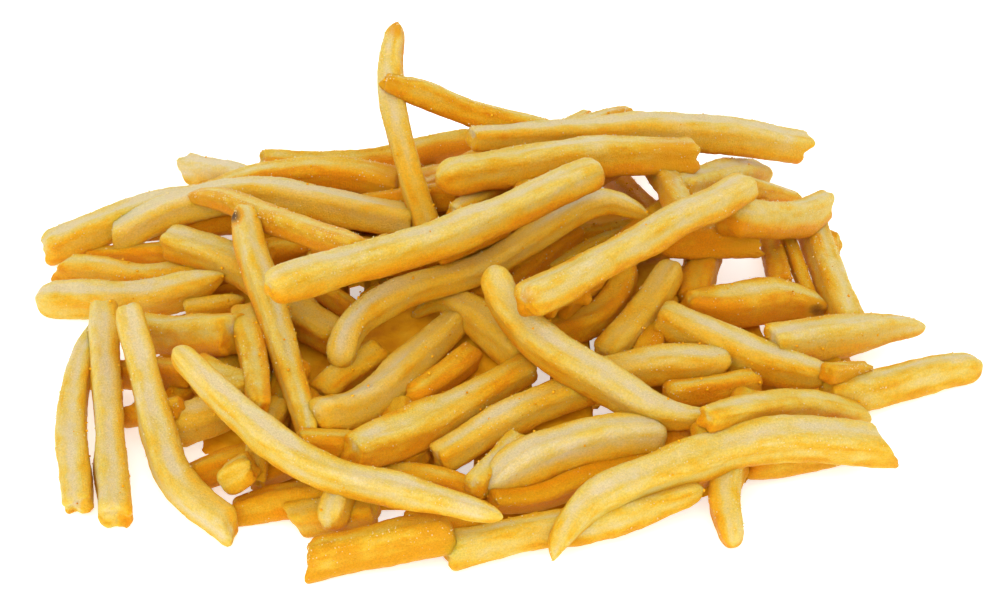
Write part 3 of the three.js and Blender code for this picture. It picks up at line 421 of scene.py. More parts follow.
def fill_inside(above, made, pick, wanted, tries, lengths, room, bare_most, peeping=False):
    """Adds fries inside the heap, dropped onto the core and each other, under those that show."""
    balls, radii = balls_of(above)
    below, below_r = balls_of(made) if made else (np.zeros((0, 3)), np.zeros(0))
    s = np.arange(SPAN_STEPS + 1) / SPAN_STEPS - 0.5
    ts = 2 * s

    def draw(least, more):
        return least + more * pick()
    for _ in range(tries):
        if len(made) >= wanted:
            break
        x, y, turn = draw(*INNER_X), draw(*INNER_Y), math.pi * pick()
        long, thick, bow = draw(*lengths), draw(*INNER_THICK), INNER_BOW * (pick() - 0.5)
        r = thick / 2
        side = bow * (1 - 4 * s * s)
        px = x + math.cos(turn) * long * s - math.sin(turn) * side
        py = y + math.sin(turn) * long * s + math.cos(turn) * side
        if py.max() > FAR_EDGE - r:
            continue
        floors = rest_height(px, py) + r
        reach = long / 2 + BELOW_REACH
        around = (np.abs(below[:, 0] - x) < reach) & (np.abs(below[:, 1] - y) < reach)
        if around.any():
            off = (below[around, 0] - px[:, None]) ** 2 + (below[around, 1] - py[:, None]) ** 2
            gap = (r + below_r[around]) * REST
            up = below[around, 2] + np.sqrt(np.maximum(0, gap * gap - off))
            floors = np.maximum(floors, np.where(off < gap * gap, up, -ANY).max(1))
        rise, slope = rest_on(ts, floors, 0.0, INNER_SWAY * long, -ANY, ANY)
        spots = np.column_stack([px, py, rise + slope * ts])
        near = np.abs(balls - spots[SPAN_STEPS // 2]).max(1) < long / 2 + ABOVE_REACH

        def blocked(some):
            d = some[:, None, :] - balls[near][None, :, :]
            return ((d * d).sum(2) <= ((r + radii[near]) * room) ** 2).any()
        ends = spots[[0, -1]] + [0, 0, r * PEEK]
        if blocked(spots[::6]) or not (peeping or hidden(ends, balls, radii).all()) or blocked(spots):
            continue
        a, u = shown(spots)
        if in_places(a, u, GAPS, GAP_CLEAR) or (peeping and in_places(a, u, SHUT_PLACES)):
            continue
        if peeping:
            beside = unit(np.cross(spots - EYE, np.gradient(spots, axis=0))) * r
            rims = np.vstack([spots + beside, spots, spots - beside])
            misplaced = covers(rims, balls, radii) | ~over_core(rims)
            if (~hidden(rims, balls, radii) & misplaced).sum() > bare_most:
                continue
        else:
            bare = ~hidden(spots + [0, 0, r * PEEK], balls, radii)
            if bare[0] or bare[-1] or bare.sum() > bare_most:
                continue
        below, below_r = np.vstack([below, spots]), np.concatenate([below_r, np.full(len(spots), r)])
        # painted shade: fries inside the heap take the brown tone, as they lie deep in the heap's shade
        made.append(dict(name="inner-%d" % (len(made) + 1), tone=3, ends="cc", a=a, u=u, at=spots,
                         width=np.full(len(spots), thick * INNER_SHOWS), r=np.full(len(spots), r)))
    return made


# ---- the real fries ----
AROUND = 36  # points round a fry
AROUND_INSIDE = 20  # round one inside the heap
RING_STEP = 0.6  # between rings along it
RING_STEP_INSIDE = 1.3
CORNER = 0.52  # corner radius, by the half thickness
DENT = 0.045  # how far a face sinks in its middle, by the half thickness
EDGE_WIDE = 0.4  # how far an edge's crust reaches onto a face, by the same
CROWD_SIDES = 8  # directions in which a fry's nearness to others is worked out
CROWD_REACH, CROWD_WEIGHT = 75, 0.62
FACE_RINGS, RIM_ANGLES = (0.3, 0.65, 0.97), (12, 32, 56, 80)  # of a cut end
ROUND_RINGS, ROUND_DEEP, TIP_SHARE, LEAST_SHARE = 7, 0.62, 0.24, 0.22  # of a rounded end
WEAR, WEAR_VARIES = 0.10, 0.16
SLANTS = {"L": 0.76, "l": 0.4, "R": -0.76, "r": -0.4}
# relief of the crust: size of its bumps along and across a fry, and height
DENTS, LUMPS = ((9.0, 4.5, 4.5), 0.33), ((3.6, 2.2, 2.2), 0.10)
BLISTERS, CRISPS = (1.5, 0.06), (0.75, 0.05)
RELIEF_THICK = 3.2  # the half thickness for which those heights are meant


def lattice(i, seed):
    """Even values from -1 to 1 at whole-numbered places."""
    n = i.astype(np.int64) * np.array([374761393, 668265263, 2147483647 // 3])
    h = (n.sum(-1) + seed * 974634777) & 0xFFFFFFFF
    h = ((h ^ (h >> 13)) * 1274126177) & 0xFFFFFFFF
    h = ((h ^ (h >> 16)) * 2246822519) & 0xFFFFFFFF
    return (h ^ (h >> 15)) / 2147483648.0 - 1.0


def noise(p, seed):
    """Smooth noise from about -1 to 1 at points p, one bump to a unit."""
    i = np.floor(p).astype(np.int64)
    f = p - i
    w = f * f * f * (f * (f * 6 - 15) + 10)
    total = np.zeros(len(p))
    for step in np.ndindex(2, 2, 2):
        part = np.where(step, w, 1 - w)
        total += part[:, 0] * part[:, 1] * part[:, 2] * lattice(i + np.array(step), seed)
    return total


def section(around):
    """The rounded square round a fry, for a half thickness of 1, and how near each point of it
    is to an edge."""
    flat = 2 * (1 - CORNER)
    arc = math.pi / 2 * CORNER
    whole = 4 * (flat + arc)
    points, edges = [], []
    for k in range(around):
        s = whole * k / around
        side = int(s // (flat + arc))
        s -= side * (flat + arc)
        if s < flat:
            along = s - flat / 2
            x, y = 1 - DENT * (1 - (2 * along / flat) ** 2), along
            edge = max(0.0, 1 - (flat / 2 - abs(along)) / EDGE_WIDE)
        else:
            angle = (s - flat) / CORNER
            x, y = 1 - CORNER + CORNER * math.cos(angle), 1 - CORNER + CORNER * math.sin(angle)
            edge = 1.0
        cos, sin = math.cos(side * math.pi / 2), math.sin(side * math.pi / 2)
        points.append([x * cos - y * sin, x * sin + y * cos])
        edges.append(edge)
    return np.array(points), np.array(edges)


SECTIONS = {AROUND: section(AROUND), AROUND_INSIDE: section(AROUND_INSIDE)}


def crowding(fries):
    """How far others close round each place of a fry, from 0 to 1, in each direction round it: the
    strength of the painted crevice shade there.
    """
    balls, radii = balls_of(fries)
    count = SPAN_STEPS + 1
    angles = 2 * math.pi * np.arange(CROWD_SIDES) / CROWD_SIDES
    for number, fry in enumerate(fries):
        at = fry["at"]
        T = unit(np.gradient(at, axis=0))
        up = unit(np.array([0, 0, 1.0]) - T * T[:, 2:])
        side = np.cross(T, up)
        out = up[:, None] * np.cos(angles)[:, None] + side[:, None] * np.sin(angles)[:, None]
        p = (at[:, None] + out * fry["r"][:, None, None]).reshape(-1, 3)
        n = out.reshape(-1, 3)
        near = np.abs(balls - at[count // 2]).max(1) < CROWD_REACH
        near[number * count:(number + 1) * count] = False
        to = balls[near] - p[:, None]
        far = np.maximum(np.linalg.norm(to, axis=2), 1e-6)
        facing = np.maximum(0, (to * n[:, None]).sum(2) / far)
        cover = facing * np.minimum(1, (radii[near] / far) ** 2)
        fry["crowd"] = np.minimum(1, CROWD_WEIGHT * cover.sum(1)).reshape(count, CROWD_SIDES)


def cut_end(wear, thick):
    """Rings of a cut end: a flat face, then its worn rim."""
    rim, lost = wear * thick, 2 * wear
    rings = [(0.0, (1 - lost) * k, 1 - k) for k in FACE_RINGS]
    for angle in RIM_ANGLES:
        lean = math.radians(angle)
        rings.append((rim * (1 - math.cos(lean)), 1 - lost * (1 - math.sin(lean)), 0.0))
    return rings


def round_end(thick):
    """Rings of a rounded end."""
    deep = ROUND_DEEP * thick
    rings = [(0.0, TIP_SHARE, 0.0)]
    for k in range(1, ROUND_RINGS):
        d = deep * (k / ROUND_RINGS) ** 1.6
        rings.append((d, max(LEAST_SHARE, (1 - (1 - d / deep) ** 2.4) ** (1 / 2.2)), 0.0))
    return rings


def ring_plan(long, ends, worn, thick, step):
    """Rings along a fry: place, share of the section, how far into a cut face."""
    start, finish = (round_end(thick) if end == "d" else cut_end(wear, thick)
                     for end, wear in zip(ends, worn))
    inner = start[-1][0] + step * 0.6
    outer = long - finish[-1][0] - step * 0.6
    count = max(2, int((outer - inner) / step))
    plan = start + [(inner + (outer - inner) * k / count, 1.0, 0.0) for k in range(count + 1)]
    plan += [(long - d, share, into) for d, share, into in reversed(finish)]
    return np.array(plan)


def crust(places, crisp):
    """Dents, lumps and blisters at places in the potato."""
    wide = noise(places / DENTS[0], 1) * DENTS[1]
    mid = noise(places / LUMPS[0], 2) * LUMPS[1]
    fine = (noise(places / BLISTERS[0], 3) * BLISTERS[1]
            + noise(places / CRISPS[0] + 9.0, 4) * CRISPS[1] * crisp)
    return wide + mid + fine


def tube(rows, around):
    """Faces of a tube of rings, closed by a fan to one more point at each end."""
    k = np.arange(around)
    nxt = (k + 1) % around
    quads = [np.column_stack([i + k, i + nxt, i + around + nxt, i + around + k])
             for i in range(0, (rows - 1) * around, around)]
    last = (rows - 1) * around
    fans = [np.column_stack([np.full(around, rows * around), nxt, k]),
            np.column_stack([np.full(around, rows * around + 1), last + k, last + nxt])]
    return np.vstack(quads), np.vstack(fans)


def burnt(name, across, up):
    """How burnt a fry's points are, by where they show."""
    burn = np.zeros(across.shape)
    for fry, at_across, at_up, reach, depth in BURNS:
        if fry == name:
            far = np.hypot(across - at_across, up - at_up)
            burn = np.maximum(burn, depth * np.clip(1.2 - far / reach, 0, 1))
    return burn


def shut_in(crowd, where, turn):
    """How closed in points are, by the place along the fry and the direction, in whole sides: the
    strength of the painted crevice shade.
    """
    slot = np.floor(turn).astype(int)
    f = turn - slot
    low = np.floor(where).astype(int)
    g = (where - low)[:, None]

    def ring_value(row):
        a = crowd[row[:, None], slot % CROWD_SIDES]
        return a * (1 - f) + crowd[row[:, None], (slot + 1) % CROWD_SIDES] * f
    return ring_value(low) * (1 - g) + ring_value(low + 1) * g


def fry_mesh(fry, roll, pick, seed):
    """One fry: points, faces and what its finish needs at each point."""
    at, width = fry["at"], fry["width"]
    n = len(at) - 1
    steps = np.linalg.norm(np.diff(at, axis=0), axis=1)
    line = np.concatenate([[0], np.cumsum(steps)])
    long = line[-1]
    inside = fry["name"].startswith("inner")
    around = AROUND_INSIDE if inside else AROUND
    shape, edges = SECTIONS[around]
    worn = [WORN.get((fry["name"], end), WEAR + WEAR_VARIES * pick()) for end in (0, 1)]
    plan = ring_plan(long, fry["ends"], worn, width.mean(), RING_STEP_INSIDE if inside else RING_STEP)
    d, share, into = plan.T

    def place(s):
        return np.column_stack([np.interp(s, line, at[:, k]) for k in range(3)])
    soft = 2.0
    c = (place(d - soft / 2) + 2 * place(d) + place(d + soft / 2)) / 4
    ends_near = np.minimum(np.minimum(d, long - d) / soft, 1)[:, None]
    c = c * ends_near + place(d) * (1 - ends_near)
    along = np.column_stack([d / 9.0, np.full(len(d), seed * 3.3), np.zeros(len(d))])
    w = np.interp(d, line, width) * (1 + 0.07 * noise(along, 9))
    T = unit(place(np.minimum(long, d + 0.03 * long)) - place(np.maximum(0, d - 0.03 * long)))
    flat_up = unit(np.array([0, 0, 1.0]) - T * T[:, 2:])
    side = np.cross(T, flat_up)
    stray = WANDER * np.column_stack([noise(along / 1.6, 7), noise(along / 1.6, 8)])
    c = c + side * stray[:, :1] + flat_up * stray[:, 1:]
    spin = roll + (pick() - 0.5) * 0.25 * (d / long - 0.5) * 2
    U = flat_up * np.cos(spin)[:, None] + side * np.sin(spin)[:, None]
    W = np.cross(T, U)
    left = -unit(np.cross(unit(c - EYE), T))
    seen = (1 - CORNER) * (np.abs((left * U).sum(1)) + np.abs((left * W).sum(1))) + CORNER
    h = w / 2 / seen
    squash = 1 + (pick() - 0.5) * 0.10
    p = shape[None, :, 0] * squash * (h * share)[:, None]
    q = shape[None, :, 1] / squash * (h * share)[:, None]
    off = U[:, None, :] * p[..., None] + W[:, None, :] * q[..., None]
    out = unit(off)

    # cut ends may slant, and their torn rims are uneven
    push = np.zeros(off.shape[:2])
    for end, sign in ((0, -1), (1, 1)):
        code = fry["ends"][end]
        if code == "d":
            continue
        gap = d if end == 0 else long - d
        fade = np.clip(1 - gap / (1.6 * w), 0, 1) ** 2
        tilt = SLANTS.get(code, (pick() - 0.5) * 0.3)
        level = left[0] if end == 0 else left[-1]
        lean = (pick() - 0.5) * 0.5
        push += sign * fade[:, None] * (off @ level) * tilt + fade[:, None] * p * lean
        torn = np.column_stack([p.ravel(), q.ravel(), np.full(p.size, 7.3 * end + 0.5)])
        rough = noise(torn / 1.9 + seed * 13.1, 5) * 0.42 + noise(torn / 0.8 + seed * 3.7, 6) * 0.22
        horns = HORN * np.abs(p * q) / (h * h)[:, None]
        ragged = RAGGED.get((fry["name"], end), 1.0)
        push += sign * ragged * fade[:, None] ** 2 * (rough.reshape(p.shape) + horns)
    grain = np.empty(off.shape)
    grain[..., 0] = d[:, None] + push
    grain[..., 1], grain[..., 2] = p, q
    flatg = grain.reshape(-1, 3) + np.array([0, 40.0 * (seed % 17), 40.0 * (seed // 17)])

    crisp = 0.6 + 0.9 * np.tile(edges, (len(d), 1)).ravel()
    wave = crust(flatg, crisp).reshape(p.shape) * (h / RELIEF_THICK)[:, None]
    wave *= np.clip(share, 0.3, 1)[:, None]
    points = c[:, None, :] + off + out * wave[..., None] + T[:, None, :] * push[..., None]

    rows = len(d)
    verts = np.vstack([points.reshape(-1, 3), points[0].mean(0), points[-1].mean(0)])
    verts[:, 2] = np.maximum(verts[:, 2], 0)
    quads, fans = tube(rows, around)

    # finish: how browned, how near an edge or an end, how far it faces up (for the painted top light),
    # how closed in it is (for the painted crevice shade), and the fry's own grain
    edge = np.tile(edges, (rows, 1)) * np.clip(share, 0, 1)[:, None] ** 2
    tip = np.exp(-np.minimum(d, long - d) / 2.2)[:, None] + np.zeros_like(p)
    face = np.tile(into[:, None], (1, around))
    across = np.interp(d, line, fry["a"])[:, None] + (off @ np.array([1.0, 0, 0]))
    up = np.interp(d, line, fry["u"])[:, None] + (off @ UPWARD)
    burn = burnt(fry["name"], across, up)
    turn = np.arctan2((out * side[:, None]).sum(2), (out * flat_up[:, None]).sum(2))
    turn = turn / (2 * math.pi) * CROWD_SIDES
    where = np.clip(np.interp(d, line, np.arange(n + 1)), 0, n - 1e-6)
    shut = shut_in(fry["crowd"], where, turn)

    def closed(values):
        return np.concatenate([values.ravel(), [values[0].mean(), values[-1].mean()]])
    layers = dict(edge=edge, tip=tip, face=face, burn=burn, rise=out[..., 2], shut=shut)
    finish = {key: closed(values) for key, values in layers.items()}
    finish["tone"] = np.full(len(verts), fry["shade"])
    grain_all = np.vstack([flatg, flatg[:around].mean(0), flatg[-around:].mean(0)])
    return verts, quads, fans, finish, grain_all


def new_mesh(name, points, faces):
    """A smooth mesh in metres, from points in millimetres."""
    mesh = bpy.data.meshes.new(name)
    mesh.from_pydata((points * MM).tolist(), [], faces)
    mesh.shade_smooth()
    return mesh


def new_object(name, data):
    made = bpy.data.objects.new(name, data)
    bpy.context.scene.collection.objects.link(made)
    return made


def write_mesh(name, parts):
    """Joins fries into one object, with their finish as point attributes."""
    verts, quads, fans, finishes, grains = zip(*parts)
    bases = np.cumsum([0] + [len(v) for v in verts[:-1]])
    quads, fans = (np.vstack([face + base for face, base in zip(kind, bases)]).tolist()
                   for kind in (quads, fans))
    mesh = new_mesh(name, np.vstack(verts) - CENTRE, quads + fans)
    for key in finishes[0]:
        values = np.concatenate([finish[key] for finish in finishes]).astype(np.float32)
        mesh.attributes.new(key, "FLOAT", "POINT").data.foreach_set("value", values)
    layer = mesh.attributes.new("grain", "FLOAT_VECTOR", "POINT")
    layer.data.foreach_set("vector", np.vstack(grains).astype(np.float32).ravel())
    return new_object(name, mesh)


# ---- materials ----
class Graph:
    """Short ways to make a material's nodes."""

    def __init__(self, name):
        self.material = bpy.data.materials.new(name)
        self.material.use_nodes = True
        self.tree = self.material.node_tree
        self.shader = self.tree.nodes["Principled BSDF"]

    def put(self, socket, value):
        if isinstance(value, bpy.types.NodeSocket):
            self.tree.links.new(value, socket)
        else:
            socket.default_value = (*value, 1.0) if socket.type == "RGBA" else value

    def fill(self, node, **sockets):
        """Sets or links a node's sockets by their names."""
        for key, value in sockets.items():
            self.put(node.inputs[key.replace("_", " ")], value)
        return node

    def node(self, kind, **sockets):
        return self.fill(self.tree.nodes.new(kind), **sockets)

    def attribute(self, name, output="Fac"):
        made = self.node("ShaderNodeAttribute")
        made.attribute_name = name
        return made.outputs[output]

    def math(self, operation, a, b):
        made = self.node("ShaderNodeMath")
        made.operation = operation
        self.put(made.inputs[0], a)
        self.put(made.inputs[1], b)
        return made.outputs[0]

    def add(self, total, *terms):
        for term in terms:
            total = self.math("ADD", total, term)
        return total

    def scaled(self, a, b):
        return self.math("MULTIPLY", a, b)

    def swing(self, noise, by):
        """How far a noise is from its middle, times a number."""
        return self.scaled(self.math("SUBTRACT", noise, 0.5), by)

    def stretched(self, vector, scale):
        made = self.node("ShaderNodeVectorMath")
        made.operation = "MULTIPLY"
        self.put(made.inputs[0], vector)
        self.put(made.inputs[1], scale)
        return made.outputs[0]

    def noise(self, vector, scale, detail=3.0, roughness=0.55):
        return self.node("ShaderNodeTexNoise", Vector=vector, Scale=scale, Detail=detail,
                         Roughness=roughness).outputs["Fac"]

    def ramp(self, factor, stops):
        made = self.node("ShaderNodeValToRGB", Fac=factor)
        made.color_ramp.interpolation = "LINEAR"
        points = made.color_ramp.elements
        while len(points) < len(stops):
            points.new(1.0)
        for point, (where, colour) in zip(points, stops):
            point.position = where
            point.color = (*colour, 1.0)
        return made.outputs["Color"]

    def between(self, factor, low, high, to_low=0.0, to_high=1.0):
        return self.node("ShaderNodeMapRange", Value=factor, From_Min=low, From_Max=high,
                         To_Min=to_low, To_Max=to_high).outputs["Result"]

    def mix(self, factor, a, b, blend="MIX"):
        made = self.node("ShaderNodeMix")
        made.data_type, made.blend_type = "RGBA", blend
        self.put(made.inputs["Factor"], factor)
        self.put(made.inputs[6], a)
        self.put(made.inputs[7], b)
        return made.outputs[2]

    def tint(self, colour, factor, by):
        return self.mix(factor, colour, by, "MULTIPLY")

    def bump(self, height, strength, deep):
        return self.node("ShaderNodeBump", Height=height, Strength=strength,
                         Distance=deep).outputs["Normal"]


CREAM, PALE = (0.850, 0.685, 0.365), (0.860, 0.660, 0.245)
GOLD, DEEP = (0.870, 0.620, 0.115), (0.880, 0.515, 0.026)
BROWN, DARKEST = (0.830, 0.380, 0.005), (0.60, 0.20, 0.002)
TOASTED, BURNT = (0.800, 0.360, 0.006), (0.090, 0.035, 0.010)
SALT_LOW, SALT_HIGH = (0.80, 0.58, 0.20), (0.86, 0.72, 0.38)


def potato(name):
    """Fried potato: cream to golden crust with browned edges, fine blisters and a film of oil; painted
    top light makes upward faces paler and downward ones deeper golden, and painted shade makes crevices
    darker and more orange.
    """
    g = Graph(name)
    grain = g.attribute("grain", "Vector")
    shut = g.attribute("shut")
    patches = g.noise(g.stretched(grain, (0.10, 0.26, 0.26)), 1.0, 2.0)
    streaks = g.noise(g.stretched(grain, (0.22, 0.9, 0.9)), 1.0, 3.0)
    blotches = g.noise(grain, 0.42, 2.0)
    speckle = g.noise(grain, 2.2, 3.0, 0.7)
    browning_and_painted_light = g.add(
        g.attribute("tone"),
        g.swing(patches, 1.35),
        g.swing(streaks, 0.30),
        g.swing(blotches, 0.45),
        g.swing(speckle, 0.40),
        g.scaled(g.scaled(g.attribute("edge"), streaks), 0.54),
        g.scaled(g.attribute("tip"), 0.20),
        g.scaled(g.attribute("face"), -0.25),
        # painted light and shade: paler on faces turned up, deeper golden on faces turned down
        g.between(g.attribute("rise"), -0.5, 0.95, 0.28, -0.18),
        # painted shade: deeper golden where other fries close round a place
        g.scaled(shut, 0.20),
    )
    colour = g.ramp(browning_and_painted_light, [(0.0, CREAM), (0.22, PALE), (0.46, GOLD), (0.74, DEEP), (1.0, BROWN)])
    # painted shade: deep crevices are tinted darker and more orange, like light bounced between the
    # fries
    colour = g.tint(colour, g.between(shut, 0.50, 1.0, 0.0, 0.8), (1.10, 0.82, 0.10))
    mottle = g.between(g.noise(grain, 2.8, 4.0, 0.8), 0.28, 0.72, 0.78, 1.12)
    colour = g.tint(colour, 1.0, mottle)
    heat = g.add(g.attribute("burn"), g.swing(streaks, 0.5))
    colour = g.mix(g.between(heat, 0.12, 0.45), colour, TOASTED)
    colour = g.mix(g.between(heat, 0.5, 1.0), colour, BURNT)
    # a few small dark specks
    cells = g.node("ShaderNodeTexVoronoi", Vector=grain, Scale=0.115)
    spots = g.math("LESS_THAN", cells.outputs["Distance"], 0.022)
    colour = g.mix(g.scaled(spots, 0.75), colour, TOASTED)
    rough = g.between(g.noise(grain, 0.8, 2.0), 0.3, 0.7, 0.36, 0.55)
    blisters = g.bump(g.noise(grain, 2.6, 4.0, 0.75), 1.0, 0.0010)
    g.fill(g.shader, Base_Color=colour, Roughness=rough, Normal=blisters, Specular_IOR_Level=0.18,
           Subsurface_Weight=0.45, Subsurface_Radius=(1.0, 0.68, 0.20), Subsurface_Scale=0.0025)
    return g.material


def salt_finish(name):
    g = Graph(name)
    cloud = g.noise(g.node("ShaderNodeTexCoord").outputs["Object"], 2500.0, 2.0)
    g.fill(g.shader, Base_Color=g.ramp(cloud, [(0.3, SALT_LOW), (0.75, SALT_HIGH)]), Roughness=0.3,
           Subsurface_Weight=0.3, Subsurface_Radius=(1.0, 0.9, 0.7), Subsurface_Scale=0.0004)
    return g.material


# painted shade: the core stands for fries deep in the heap and is coloured darker brown than they are,
# as they look in shade; the crumbs share this finish
def core_finish(name):
    g = Graph(name)
    place = g.node("ShaderNodeTexCoord").outputs["Object"]
    colour = g.ramp(g.noise(place, 160.0, 4.0), [(0.25, DARKEST), (0.5, BROWN), (0.8, DEEP)])
    g.fill(g.shader, Base_Color=colour, Roughness=0.6, Specular_IOR_Level=0.1,
           Normal=g.bump(g.noise(place, 900.0, 4.0), 0.6, 0.0004))
    return g.material


def floor_finish(name):
    g = Graph(name)
    g.fill(g.shader, Base_Color=(0.90, 0.915, 0.90), Roughness=0.9, Specular_IOR_Level=0.1,
           Emission_Color=(1.0, 0.985, 0.95), Emission_Strength=0.52)
    return g.material


# ---- the core and the small bits ----
CORE_STEP = 1.1  # between the points of the core's grid
CORE_SMALLER = 1.16  # how much shorter and narrower it is than the solid's
GAP_EDGE = 0.8  # how much wider the ways to the surface are than they show
LEAST_PATCH = 60  # cells of the smallest patch of it that is kept


def large_patches(cells, least):
    """The patches of cells that hang together and have at least so many cells."""
    left, kept = cells.copy(), np.zeros_like(cells)
    while left.any():
        patch = np.zeros_like(left)
        patch[tuple(np.argwhere(left)[0])] = True
        size = 0
        while patch.sum() > size:
            size = patch.sum()
            wide = np.pad(patch, 1)
            beside = wide[:-2, 1:-1] | wide[2:, 1:-1] | wide[1:-1, :-2] | wide[1:-1, 2:]
            patch = left & (patch | beside)
        if size >= least:
            kept |= patch
        left &= ~patch
    return kept


def core_tops(x, y, fries):
    """How high the core is: under the fries, with the ways to the surface left open."""
    tops = core_height(x * CORE_SMALLER, CORE_Y + (y - CORE_Y) * CORE_SMALLER) - CORE_LOWER
    flat = np.column_stack([x / 5.0, y / 5.0, np.zeros(len(x))])
    tops += 0.7 * noise(flat, 21) + 0.35 * noise(flat * 3.1, 22)
    for ga, gu, gw, gh in GAPS:
        low = unit(sheet(ga, gu - gh - GAP_EDGE) - EYE)
        high = unit(sheet(ga, gu + gh + GAP_EDGE) - EYE)
        line = EYE[2] + (y - EYE[1]) * low[2] / low[1]
        far = EYE[1] - EYE[2] * high[1] / high[2]
        side = ga * (y - EYE[1]) / ((sheet(ga, gu) - EYE)[1])
        inside = (np.abs(x - side) < gw + GAP_EDGE) & (y < far)
        tops = np.where(inside, np.minimum(tops, line), tops)
    balls, radii = balls_of(fries)
    room = np.concatenate([
        (radii - np.hypot(balls[:, 0] - px[:, None], balls[:, 1] - py[:, None])).max(1)
        for px, py in zip(np.array_split(x, 40), np.array_split(y, 40))])
    inward = 0.62 - (x / CORE_WIDE) ** 2 - ((y - CORE_Y) / CORE_DEEP) ** 2
    return np.minimum(tops, 2.5 * (room - 0.4) + 80 * np.maximum(0, inward))


def core_mesh(name, fries):
    """The low mound under the fries, down to the surface at its rim."""
    xs = np.arange(-CORE_WIDE, CORE_WIDE + CORE_STEP, CORE_STEP)
    ys = np.arange(CORE_Y - CORE_DEEP, CORE_Y + CORE_DEEP + CORE_STEP, CORE_STEP)
    gx, gy = np.meshgrid(xs, ys, indexing="ij")
    tops = core_tops(gx.ravel(), gy.ravel(), fries).reshape(gx.shape)
    keep = large_patches(tops > 0, LEAST_PATCH)
    tops = np.where(keep, tops, np.minimum(tops, -0.1))
    verts, index, faces = [], -np.ones(gx.shape, int), []

    def corner(i, j):
        if index[i, j] < 0:
            index[i, j] = len(verts)
            here, top = np.array([gx[i, j], gy[i, j]]), tops[i, j]
            if top <= 0:
                near = [(tops[a, b], a, b) for a in range(max(0, i - 1), min(len(xs), i + 2))
                        for b in range(max(0, j - 1), min(len(ys), j + 2))]
                best, a, b = max(near)
                here = here + (np.array([gx[a, b], gy[a, b]]) - here) * top / (top - best)
            verts.append((*here, max(0.0, top)))
        return index[i, j]
    for i in range(len(xs) - 1):
        for j in range(len(ys) - 1):
            if keep[i:i + 2, j:j + 2].any():
                faces.append([corner(i, j), corner(i + 1, j), corner(i + 1, j + 1), corner(i, j + 1)])
    return new_object(name, new_mesh(name, np.array(verts) - CENTRE, faces))


BIT = np.array([[1, 0, 0], [-1, 0, 0], [0, 1, 0], [0, -1, 0], [0, 0, 1], [0, 0, -1]], float)
BIT_FACES = np.array([[0, 2, 4], [2, 1, 4], [1, 3, 4], [3, 0, 4],
                      [2, 0, 5], [1, 2, 5], [3, 1, 5], [0, 3, 5]])


def read(data, key, count, wide=1):
    values = np.empty(count * wide)
    data.foreach_get(key, values)
    return values.reshape(-1, wide) if wide > 1 else values


def scatter(name, hosts, count, least, most, weigh, seed):
    """Small uneven bits stuck to the fries, as one mesh; sizes are half sizes in mm."""
    draw = np.random.RandomState(seed)
    spots, normals, weights = [], [], []
    for host in hosts:
        mesh, size = host.data, len(host.data.vertices)
        spots.append(read(mesh.vertices, "co", size, 3) / MM)
        normals.append(read(mesh.vertex_normals, "vector", size, 3))
        weights.append(weigh(*(read(mesh.attributes[key].data, "value", size)
                               for key in ("edge", "shut", "rise"))))
    spots, normals, weights = np.vstack(spots), np.vstack(normals), np.concatenate(weights)
    cloud = 0.35 + noise(spots / 9.0, seed) + 0.6 * noise(spots / 2.5, seed + 1)
    weights *= np.clip(cloud, 0.02, 1)
    chosen = draw.choice(len(spots), count, p=weights / weights.sum())
    half = least + (most - least) * draw.rand(count) ** 2
    ahead = unit(draw.normal(size=(count, 3)))
    beside = unit(np.cross(ahead, draw.normal(size=(count, 3))))
    above = np.cross(ahead, beside)
    form = BIT * (0.65 + 0.7 * draw.rand(count, 6, 1)) * half[:, None, None]
    turned = (form[..., :1] * ahead[:, None] + form[..., 1:2] * beside[:, None]
              + form[..., 2:] * above[:, None])
    at = spots[chosen] + normals[chosen] * (0.35 * half)[:, None] + draw.normal(size=(count, 3)) * 0.08
    verts = (at[:, None] + turned).reshape(-1, 3)
    verts[:, 2] = np.maximum(verts[:, 2], 0)
    faces = (BIT_FACES[None] + 6 * np.arange(count)[:, None, None]).reshape(-1, 3)
    return new_object(name, new_mesh(name, verts, faces.tolist()))


def on_edges(edge, shut, rise):
    return (0.08 + edge) * np.clip(rise + 0.5, 0, 1) * np.clip(1.3 - shut, 0.1, 1)


def in_seams(edge, shut, rise):
    return (0.03 + np.clip(shut, 0, 1) ** 2) * np.clip(rise + 0.3, 0, 1)


# ---- build ----
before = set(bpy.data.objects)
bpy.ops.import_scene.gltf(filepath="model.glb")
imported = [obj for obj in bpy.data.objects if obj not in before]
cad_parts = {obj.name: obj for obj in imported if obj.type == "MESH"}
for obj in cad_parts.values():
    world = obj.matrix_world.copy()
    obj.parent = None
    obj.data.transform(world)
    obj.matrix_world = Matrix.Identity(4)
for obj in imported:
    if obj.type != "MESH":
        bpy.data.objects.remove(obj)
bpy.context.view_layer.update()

on_top = settle([band_of(row) for row in FRIES])
inner = fill_inside(on_top, [], random32(SEED), **HIDDEN_FRIES)
as_packed = len(inner)
inner = fill_inside(on_top, inner, random32(SEED + 3), **PEEPING_FRIES)
crowding(inner + on_top)
roller, looks = random32(SEED + 1), random32(SEED + 2)
rolls = {f["name"]: (roller() - 0.5) * ROLL for f in inner[:as_packed] + on_top + inner[as_packed:]}
groups = [[] for _ in KINDS]
for number, fry in enumerate(on_top + inner, 1):
    # tone, a random spread, and the listed per-fry offsets, which are partly painted light and shade
    fry["shade"] = (BASE_SHADE[fry["tone"]] + (looks() - 0.5) * SHADE_VARIES
                    + BROWNING_AND_LIGHT_BY_FRY.get(fry["name"], 0))
    groups[fry["tone"]].append(fry_mesh(fry, rolls[fry["name"]], looks, number))

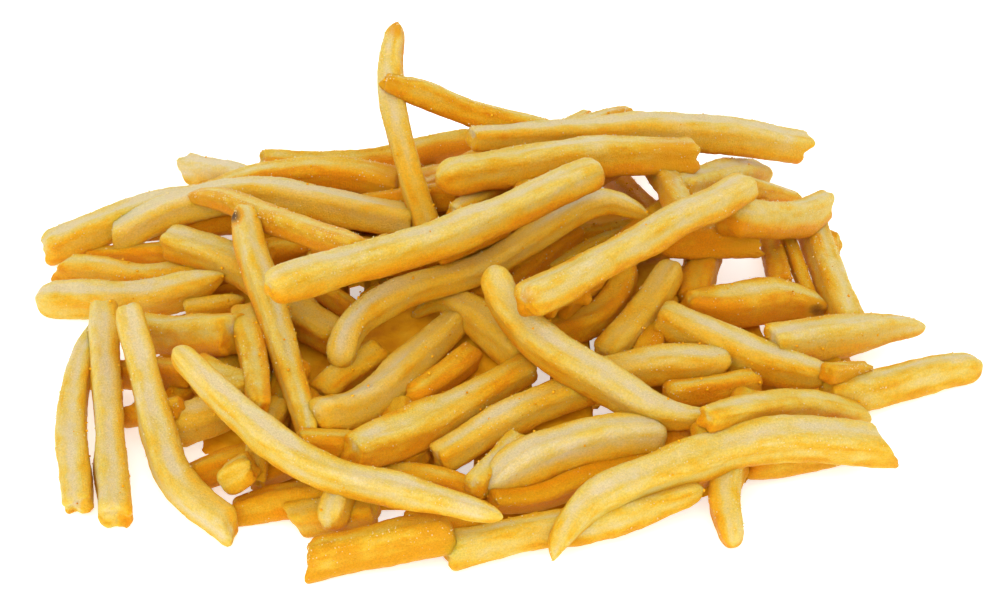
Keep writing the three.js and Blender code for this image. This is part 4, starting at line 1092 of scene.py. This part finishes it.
fries = [write_mesh(kind, members) for kind, members in zip(KINDS, groups)]
core = core_mesh("heap_core", inner + on_top)
salt = scatter("salt_grains", fries, 9000, 0.07, 0.20, on_edges, 11)
crumbs = scatter("crumbs", fries, 1200, 0.12, 0.42, in_seams, 12)
finishes = [potato("fried_potato")] * len(fries)
finishes += [core_finish("heap_core"), salt_finish("salt"), core_finish("crumbs")]
for obj, finish in zip(fries + [core, salt, crumbs], finishes):
    obj.data.materials.append(finish)
    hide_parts("fries")
    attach(obj, "root")

# ---- stage ----
FLOOR, FLOOR_LOW = 3.0, -0.00005  # half the floor's side, and its height, in metres
FRAME_WIDE, SENSOR = 200.2, 36.0  # what the camera sees at the sheet, and its sensor


def softbox(name, place, size, power, target=(0, 0, 0.01)):
    light = bpy.data.lights.new(name, "AREA")
    light.shape, light.size, light.size_y = "RECTANGLE", size[0], size[1]
    light.energy = power
    obj = new_object(name, light)
    obj.location = place
    obj.rotation_euler = (Vector(target) - Vector(place)).to_track_quat("-Z", "Y").to_euler()


floor_mesh = bpy.data.meshes.new("floor")
floor_mesh.from_pydata([(x * FLOOR, y * FLOOR, FLOOR_LOW) for x, y in
                        ((-1, -1), (1, -1), (1, 1), (-1, 1))], [], [(0, 1, 2, 3)])
floor = new_object("floor", floor_mesh)
floor.data.materials.append(floor_finish("floor"))

world = bpy.data.worlds.new("studio")
bpy.context.scene.world = world
world.use_nodes = True
sky = world.node_tree.nodes["Background"].inputs
sky["Color"].default_value = (1.0, 0.99, 0.97, 1)
sky["Strength"].default_value = 1.02
softbox("top", (0.02, 0.10, 0.8), (0.8, 0.6), 1.0)
softbox("front", (-0.12, -0.85, 0.70), (1.0, 0.7), 7.8)

camera_data = bpy.data.cameras.new("camera")
camera_data.sensor_width = SENSOR
camera_data.lens = SENSOR * EYE_AWAY / FRAME_WIDE
camera_data.clip_start, camera_data.clip_end = 0.05, 20
camera = new_object("camera", camera_data)
camera.location = (EYE - CENTRE) * MM
camera.rotation_euler = Vector(AHEAD).to_track_quat("-Z", "Y").to_euler()
bpy.context.scene.camera = camera
bpy.context.scene.view_settings.view_transform = "Standard"
